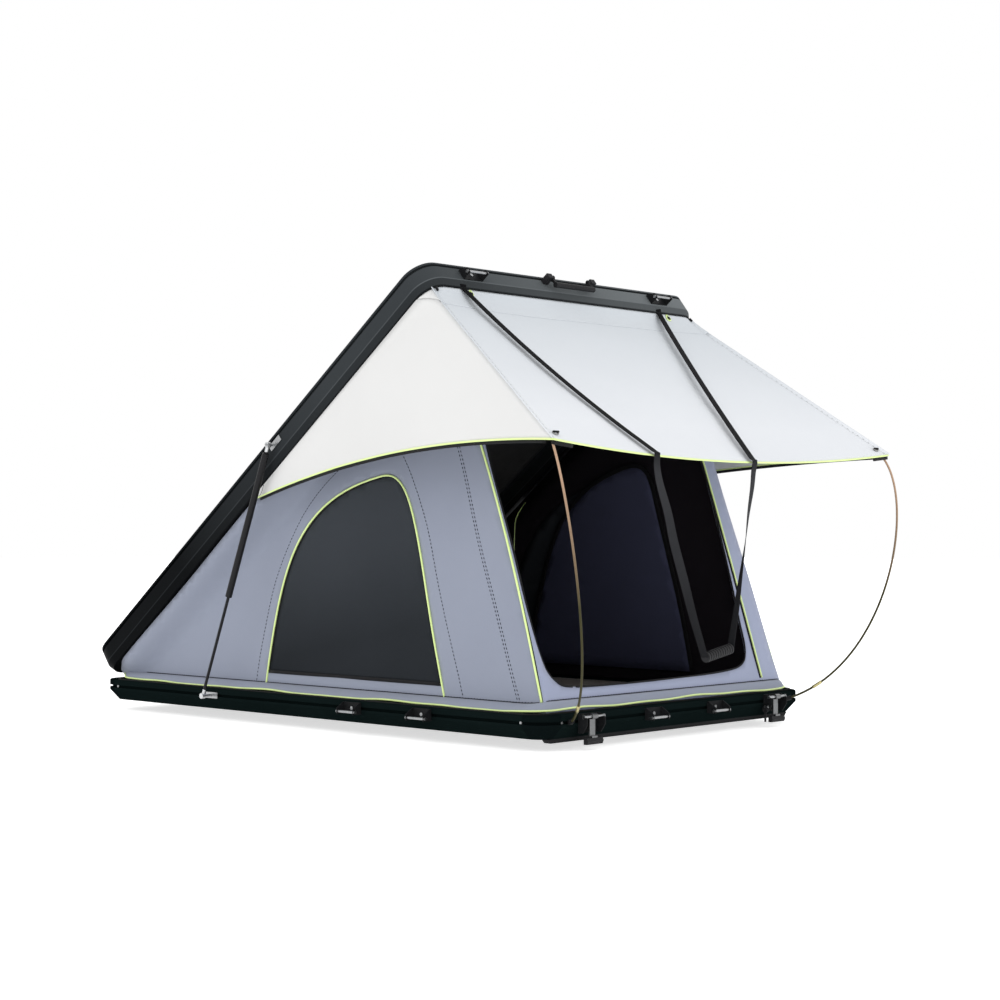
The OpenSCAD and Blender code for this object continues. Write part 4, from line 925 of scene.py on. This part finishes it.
def onRear(s, t):
    belly = rearWall["belly"] * arch(s) * (0.6 + 0.4 * sin(rearWall["pleats"] * t))
    return vec(rearLow.x + rearWall["gap"] + belly, mix(rearLow.y, rearHigh.y, t), mix(rearLow.z, rearHigh.z, s))


rearPiece, _ = clothGrid("wall_rear", rearWall["rows"], rearWall["cols"], onRear,
                         lambda s, t: vec(rearWall["thick"], 0, 0), ["wall", "lining"])
standIn("tent_wall_rear")
carryWall([rearPiece])

# mattress: foam pad in a loose cover, swollen by the cloth solver
pad = {
    "rows": 40, "cols": 26, "shrink": 0.006, "crown": 0.008, "draw": 0.010, "edge": 0.018, "square": 12,
    "under": 0.001, "voxel": 0.016, "pressure": 4.0, "frames": 20, "cap": 0.006, "fill": 0.7,
}
padLow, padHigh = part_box("mattress")


def padPoint(s, t, top):
    a, b = 2 * s - 1, 2 * t - 1
    mid, half = (padLow + padHigh) / 2, (padHigh - padLow) / 2
    x = a * (half.x - pad["shrink"] - pad["draw"] * (1 - b * b))
    y = b * (half.y - pad["shrink"] - pad["draw"] * (1 - a * a))
    edge = pad["edge"] * max(a ** pad["square"], b ** pad["square"])
    rise = half.z * 2 - pad["crown"] - pad["shrink"] - edge + pad["crown"] * (1 - a * a) * (1 - b * b)
    return vec(mid.x + x, mid.y + y, padLow.z + (rise if top else pad["under"] + 0.3 * edge))


padPiece, _ = clothGrid("mattress_pad", pad["rows"], pad["cols"], lambda s, t: padPoint(s, t, True),
                        lambda s, t: padPoint(s, t, False) - padPoint(s, t, True), ["mattress"])
bpy.context.view_layer.objects.active = padPiece
padPiece.select_set(True)
padPiece.data.remesh_voxel_size = pad["voxel"]
bpy.ops.object.voxel_remesh()
before = [v.co.copy() for v in padPiece.data.vertices]
cloth = padPiece.modifiers.new("swell", "CLOTH")
cloth.settings.use_pressure = True
cloth.settings.uniform_pressure_force = pad["pressure"]
cloth.settings.effector_weights.gravity = 0
for number in range(1, pad["frames"] + 1):
    studio.frame_set(number)
shaped = padPiece.evaluated_get(bpy.context.evaluated_depsgraph_get())
after = [v.co.copy() for v in shaped.data.vertices]
padPiece.modifiers.clear()
for vertex, a, b in zip(padPiece.data.vertices, before, after):
    move = b - a
    if move.length > pad["cap"]:
        move = move.normalized() * pad["cap"]
    vertex.co = a + move
    vertex.co.z = max(vertex.co.z, padLow.z)
studio.frame_set(1)
padPiece.data.polygons.foreach_set("use_smooth", [True] * len(padPiece.data.polygons))
padPiece.data.update()
standIn("mattress")
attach(padPiece, "base")
print("mattress", len(padPiece.data.vertices), "points")

# quilted headliner under the roof panel
liner = {"thick": 0.010, "inset": 0.0705, "quilt": 0.16, "deep": 0.0045, "puff": 0.4, "rows": 96, "cols": 60,
         "fill": 0.5}
linerU = (tent["lidBack"] + liner["inset"], tent["lidFront"] - liner["inset"])
linerY = tent["lidSide"] - liner["inset"]


def linerAt(s, t, up):
    return onLid(mix(*linerU, s), mix(-linerY, linerY, t), tent["linerUnder"] + up)


def onLiner(s, t):
    u, y = mix(*linerU, s), mix(-linerY, linerY, t)
    quilt = abs(sin(pi * (u + y) / liner["quilt"]) * sin(pi * (u - y) / liner["quilt"]))
    return linerAt(s, t, liner["deep"] * (1 - quilt ** liner["puff"]))


linerPiece, _ = clothGrid("headliner_quilt", liner["rows"], liner["cols"], onLiner,
                          lambda s, t: linerAt(s, t, liner["thick"]) - onLiner(s, t), ["headliner"])
standIn("lid_headliner")
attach(linerPiece, "lid")
print("headliner done")

# awning: front panel and two wings, piped along their free edges
wing = {
    "rearU": 1.045, "side": tent["lidSide"] - tent["bevelIn"] - 0.002, "rise": {-1: 0.055, 1: 0.026},
    "pull": 0.0003,
    "waves": [(0.0030, 6.0, 2.0, 0.5), (0.0018, -9.0, 13.0, 0.2), (0.0010, 21.0, 5.0, 1.3)], "belly": 0.006,
    "hemBack": 0.016, "hemUnder": -0.008, "hipFrom": 0.7, "easeFrom": 0.03, "easeOver": 0.08,
    "pipe": 0.0029, "tape": (0.0050, 0.0008), "tapeIn": 0.004, "shadowStripUnder": 0.007, "cut": (1.48, 0.55),
    "tab": (0.055, 0.02), "tabProud": 0.0025, "tabPitch": 0.008, "tabThread": (0.0075, 0.0013),
}
hip = {
    "steps": 40, "from": 4, "lift": 0.0012, "lean": 0.5, "seam": (0.010, 0.0012), "rowOut": 0.007, "rowUp": 0.0014,
    "rowTilt": 0.002, "pitch": 0.011, "thread": (0.008, 0.0008),
}
eyelet = {"down": 0.965, "in": 0.018, "ring": (0.006, 0.010, 0.004), "wire": 0.0022, "bar": 0.0030,
          "barStep": 0.0055, "barAt": (0.002, 0.0075)}
pocket = {"long": 0.05, "shift": (-0.003, 0, -0.009), "size": (0.0060, 0.0020)}
stopper = {"from": 0.08, "step": 0.04, "in": 0.006, "lift": 0.006, "radius": 0.0042}
leadLoop = {
    "at": {-1: 0.116, 1: 0.884}, "lift": 0.004, "step": 0.006, "radius": 0.0022,
    "path": [(0.08, 0.0), (0.29, -0.006), (0.37, 0.003), (0.26, 0.009), (0.08, 0.002)],
    "buckleFrom": 0.19, "buckleStep": 0.025, "buckleAside": 0.003, "buckleLift": 0.005, "buckle": (0.0060, 0.0022),
}


def onPanel(s, t):
    root, corner = awning["root"], awning["corner"]
    top = vec(root.x, mix(-root.y, root.y, t), root.z)
    y = mix(-corner.y, corner.y, t)
    rim = vec(corner.x, y, rimZ(y))
    p = mix(top, rim, s)
    slack = arch(s) ** 0.7 * arch(t) ** 0.5
    p.z -= awning["belly"] * arch(s) * arch(t) - ripple(p.y, s, wing["waves"]) * slack
    return p


def onValance(s, t, up=0.0):  # from the foot of the lid's bevel, running out onto the panel
    inner = clamp(t)
    bridge = (headAt(t) - onPanel(0, inner)) * (1 - s) ** 2
    return onPanel(awning["valance"] * s, inner) + bridge + vec(0.0004, 0, 0.001) * s + vec(0, 0, up)


panel, area = clothGrid("awning_panel", 40, 72, onPanel, lambda s, t: vec(0, 0, -awning["thick"]),
                        ["awning", "shade"])
rimPath = [onPanel(1, k / 90) + vec(0.001, 0, -0.001) for k in range(91)]
panelTrims = [tube("awning_hem_piping", rimPath, wing["pipe"], "piping")]
valanceTrims = []
for side, word in leftRight:
    t = (1 + side) / 2
    lean = vec(0, 1, side * hip["lean"])
    ridge = [onPanel(k / hip["steps"], t) + vec(0, 0, hip["lift"]) for k in range(hip["from"], hip["steps"] + 1)]
    panelTrims.append(sweep("hip_seam_" + word, ridge, lean, *hip["seam"], "awning"))
    crown = [onValance(k / 12, t, hip["lift"]) for k in range(13)]
    valanceTrims.append(sweep("hip_crown_" + word, crown, lean, *hip["seam"], "awning"))
    rows = [[p + vec(0, d * hip["rowOut"], hip["rowUp"] + hip["rowTilt"] * side * d) for p in ridge]
            for d in (-1, 1)]
    panelTrims.append(stitches("hip_stitching_" + word, rows, hip["pitch"], hip["thread"], "shade"))
    near = onPanel(eyelet["down"], abs(t - eyelet["in"]))
    deep, wide, high = eyelet["ring"]
    turns = [2 * pi * k / 20 for k in range(21)]
    ring = [near + vec(deep * sin(a), wide * cos(a), high - high * sin(a)) for a in turns]
    panelTrims.append(tube("awning_eyelet_" + word, ring, eyelet["wire"], "eyelet", 8))
    ahead, above = eyelet["barAt"]
    bar = [near + vec(ahead, (k - 2) * eyelet["barStep"], above) for k in range(5)]
    panelTrims.append(tube("awning_toggle_" + word, bar, eyelet["bar"], "binding", 8))
    patch = [onPanel(1, abs(t - pocket["long"] * k / 8)) + vec(*pocket["shift"]) for k in range(9)]
    panelTrims.append(sweep("rod_pocket_" + word, patch, vec(0, 0, 1), *pocket["size"], "binding"))
    stop = [onValance(stopper["from"] + stopper["step"] * k, abs(t - stopper["in"]), stopper["lift"])
            for k in range(5)]
    valanceTrims.append(tube("hip_toggle_" + word, stop, stopper["radius"], "binding", 8))
    middle = leadLoop["at"][side]
    lead = smoothPath([onValance(a, middle + b, leadLoop["lift"]) for a, b in leadLoop["path"]], leadLoop["step"])
    valanceTrims.append(tube("strap_loop_" + word, lead, leadLoop["radius"], "piping", 6))
    buckle = [onValance(leadLoop["buckleFrom"] + leadLoop["buckleStep"] * k, middle + leadLoop["buckleAside"],
                        leadLoop["buckleLift"]) for k in range(6)]
    valanceTrims.append(sweep("strap_loop_buckle_" + word, buckle, vec(0, 1, 0), *leadLoop["buckle"], "binding"))
carry([panel] + panelTrims, "awning", anchor=(0, 0, 0))
standIn("awning_front")
print("awning panel", round(area, 3))


# valance: the awning's head, held to the lid's bevel
def valanceBack(s, t):
    return vec(0, 0, -awning["valanceThick"])


valance, area = clothGrid("awning_valance", 14, 72, onValance, valanceBack, ["awning"])
for word, first, last in (("left", -awning["wrap"], 0.0), ("right", 1.0, 1 + awning["wrap"])):
    gusset, _ = clothGrid("awning_gusset_" + word, 14, 8, lambda s, t: onValance(s, mix(first, last, t)),
                          valanceBack, ["wing"])
    valanceTrims.append(gusset)
carry([valance] + valanceTrims, "lid", anchor=tuple(headAt(0.5)))
print("awning valance", round(area, 3))


def onWing(side, s, t):  # s from the rear corner to the front, t from the lid rail down to the hem
    corner, pull = awning["corner"], vec(0, wing["pull"], 0)
    head = headAt(-awning["wrap"])
    hemRear = onLid(wing["rearU"] - wing["hemBack"], -wing["side"], wing["hemUnder"])
    hemFront = vec(corner.x, -corner.y, corner.z)
    top = mix(onLid(wing["rearU"], -wing["side"], awning["underLid"]), head, s)
    hem = mix(hemRear, hemFront, s) + vec(0, 0, wing["rise"][side] * arch(s))
    edge = onPanel(t, 0) if t > awning["valance"] else onValance(t / awning["valance"], -awning["wrap"])
    toHip = clamp((s - wing["hipFrom"]) / (1 - wing["hipFrom"])) ** 2
    p = mix(top, hem, t) + (edge - mix(head, hemFront, t)) * toHip - pull * s
    slack = arch(s) ** 0.6 * arch(t * 0.5 + 0.25 * t * t) ** 0.7
    ease = clamp(((hem - top).length * t - wing["easeFrom"]) / wing["easeOver"])
    p.y += (ripple(p.x, p.z, wing["waves"]) * slack + wing["belly"] * arch(s) * arch(t)) * ease
    return vec(p.x, -side * p.y, p.z)


for side, word in leftRight:
    cloth, area = clothGrid("wing_" + word + "_cloth", 64, 30, lambda s, t: onWing(side, s, t),
                            lambda s, t: vec(0, side * awning["thick"], 0), ["shade", "wing"])
    hem = [onWing(side, k / 90, 1) + vec(0, side * 0.001, -0.001) for k in range(91)]
    trims = [tube("wing_hem_piping_" + word, hem, wing["pipe"], "piping")]
    # painted shade: a black strip under the hem stands for the shadow gap between the wing's hem and the wall
    tape = [p - vec(0, side * wing["tapeIn"], wing["shadowStripUnder"]) for p in hem[2:-2]]
    trims.append(sweep("wing_hem_tape_" + word, tape, vec(0, 0, 1), *wing["tape"], "binding"))
    tab = [onWing(side, mix(*wing["tab"], k / 6), k / 6) + vec(0, side * wing["tabProud"], 0) for k in range(7)]
    trims.append(stitches("wing_tab_stitching_" + word, [tab], wing["tabPitch"], wing["tabThread"], "thread"))
    anchor = onLid(wing["rearU"], side * wing["side"], 0)
    carry([cloth] + trims, "wing_" + word, anchor=tuple(anchor))
    standIn("awning_wing_" + word)
    print("wing", word, round(area, 3))

# awning rods: sprung, bowed from the tray's front sockets to the awning's corners
rods = {
    "foot": vec(1.055, -0.533, 0.0845), "bow": vec(0.160, -0.118, 0), "rise": vec(0, 0, 0.106),
    "footBow": 1.7, "headBow": 0.83, "headAt": 0.82, "seat": 0.0009, "short": vec(-0.012, 0.012, -0.0095),
    "radius": 0.0035, "steps": 90, "ferruleAt": (0.085, 0.125), "ferruleRadius": 0.0052,
}


def rodRoute():
    pull = rods["bow"] * rods["footBow"] + rods["rise"]
    start = rods["foot"] + pull.normalized() * rods["seat"]
    corner = awning["corner"]
    end = vec(corner.x, -corner.y, corner.z) + rods["short"]
    first = start + pull
    second = start + (end - start) * rods["headAt"] + rods["bow"] * rods["headBow"]
    return [bezier(start, first, second, end, k / rods["steps"]) for k in range(rods["steps"] + 1)]


for side, word in leftRight:
    route = [vec(p.x, -side * p.y, p.z) for p in rodRoute()]
    rod = tube("rod_" + word + "_bow", route, rods["radius"], "rod", 12)
    standIn("awning_rod_" + word)
    low, high = (round(share * rods["steps"]) for share in rods["ferruleAt"])
    sleeve = tube("rod_" + word + "_ferrule", route[low:high + 1], rods["ferruleRadius"], "ferrule", 12)
    for piece in (rod, sleeve):
        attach(piece, "rod_" + word)
print("rods done")

# finishes of the metal and plastic pieces
hardware = [
    (powderCoat("trayBlack", (0.0031, 0.0058, 0.0058), (0.0058, 0.0105, 0.0105), 0.5, 0.0),
     ["base_rail_left", "base_rail_right", "base_rail_front", "base_rail_rear"]),
    (powderCoat("castingBlack", (0.0022, 0.0040, 0.0042), (0.0045, 0.0076, 0.008), 0.5, 0.0),
     ["base_corner_castings"]),
    (lidCoat("lidSlate"),
     ["lid_rail_left", "lid_rail_right", "lid_rail_rear", "lid_rail_front", "lid_corner_castings"]),
    (powderCoat("roofSkin", (0.016, 0.017, 0.018), (0.030, 0.032, 0.034), 0.55), ["lid_roof_panel"]),
    (moulded("floorSkin", (0.06, 0.062, 0.064), (0.11, 0.112, 0.115), 0.6), ["floor_panel"]),
    (steel("channelAlloy", (0.34, 0.35, 0.36), (0.56, 0.57, 0.58)), ["mounting_channels"]),
    (moulded("stripRubber", (0.006, 0.006, 0.007), (0.014, 0.014, 0.015), 0.7), ["front_drip_strip"]),
    (moulded("sealRubber", (0.007, 0.007, 0.007), (0.016, 0.016, 0.016), 0.75), ["base_seal"]),
    (steel("brightSteel"),
     ["base_screws", "hinge_pins", "strut_base_studs", "latch_pins", "ladder_pins", "lock_barrel",
      "strut_lid_studs", "keeper_pins"]),
    (steel("haspSteel", (0.07, 0.072, 0.075), (0.30, 0.305, 0.31)), ["latch_hasp_left", "latch_hasp_right"]),
    (powderCoat("hingeBlack", (0.012, 0.013, 0.014), (0.030, 0.031, 0.033)),
     ["hinge_base_leaves", "hinge_lid_leaves"]),
    (powderCoat("bracketBlack", (0.006, 0.006, 0.007), (0.016, 0.017, 0.018), 0.36),
     ["latch_mount_left", "latch_mount_right", "ladder_brackets_front", "ladder_brackets_left",
      "ladder_brackets_right", "latch_keepers"]),
    (moulded("blackPlastic", (0.007, 0.007, 0.008), (0.018, 0.018, 0.020), 0.42),
     ["rod_sockets", "latch_pull_left", "latch_pull_right", "lid_handle_mounts", "lid_handle", "key"]),
    (strutFinish("strutBlack"), ["strut_tube_left", "strut_tube_right", "strut_rod_left", "strut_rod_right"]),
    (moulded("gripRubber", (0.012, 0.012, 0.013), (0.040, 0.040, 0.043), 0.42), ["strap_grip"]),
]
for finish, names in hardware:
    for name in names:
        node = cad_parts[name]
        for slot in node.material_slots:
            slot.material = finish
        if not node.material_slots:
            node.data.materials.append(finish)
print("hardware finishes:", sum(len(names) for _, names in hardware), "nodes")

# pale floor and soft studio light
stage = {
    "floor": 60.0, "below": 0.0005, "glow": 0.62, "onTent": 0.645,  # share of the glow that lights the tent
    "sky": 1.0, "lampSize": 4.0, "aim": vec(0.1, 0, 0.6),
    "lamps": [("keyLight", vec(0.2, -5.0, 4.2), 60.0), ("fillLight", vec(6.0, 1.0, 1.6), 45.0)],
}
floorFinish = Finish("paleFloor")
dust = floorFinish.noise(3, 2, 0.5)
seen = floorFinish.node("ShaderNodeLightPath", out="Is Camera Ray")
glow = floorFinish.blendColour(seen, (stage["onTent"],) * 3, (1, 1, 1))  # paler to the camera than to the tent
pale = floorFinish.blendColour(dust, (0.93, 0.93, 0.93), (0.95, 0.95, 0.95))
finishes["floor"] = floorFinish.done(pale, 0.9, Specular_IOR_Level=0.0, Emission_Color=glow,
                                     Emission_Strength=stage["glow"])
half = stage["floor"] / 2
floor = addPiece("paleFloor", [(-half, -half, 0), (half, -half, 0), (half, half, 0), (-half, half, 0)],
                 [(0, 1, 2, 3)], ["floor"], closed=False)
floor.location.z = cadBox[0].z - stage["below"]
world = bpy.data.worlds.new("softSky")
world.use_nodes = True
sky = world.node_tree.nodes["Background"].inputs
sky["Color"].default_value = (1, 1, 1, 1)
sky["Strength"].default_value = stage["sky"]
studio.world = world
for name, place, power in stage["lamps"]:
    lamp = bpy.data.lights.new(name, "AREA")
    lamp.energy, lamp.size = power, stage["lampSize"]
    light = addObject(name, lamp)
    light.location = place
    light.rotation_euler = (stage["aim"] - place).to_track_quat("-Z", "Y").to_euler()
studio.view_settings.view_transform = "Standard"
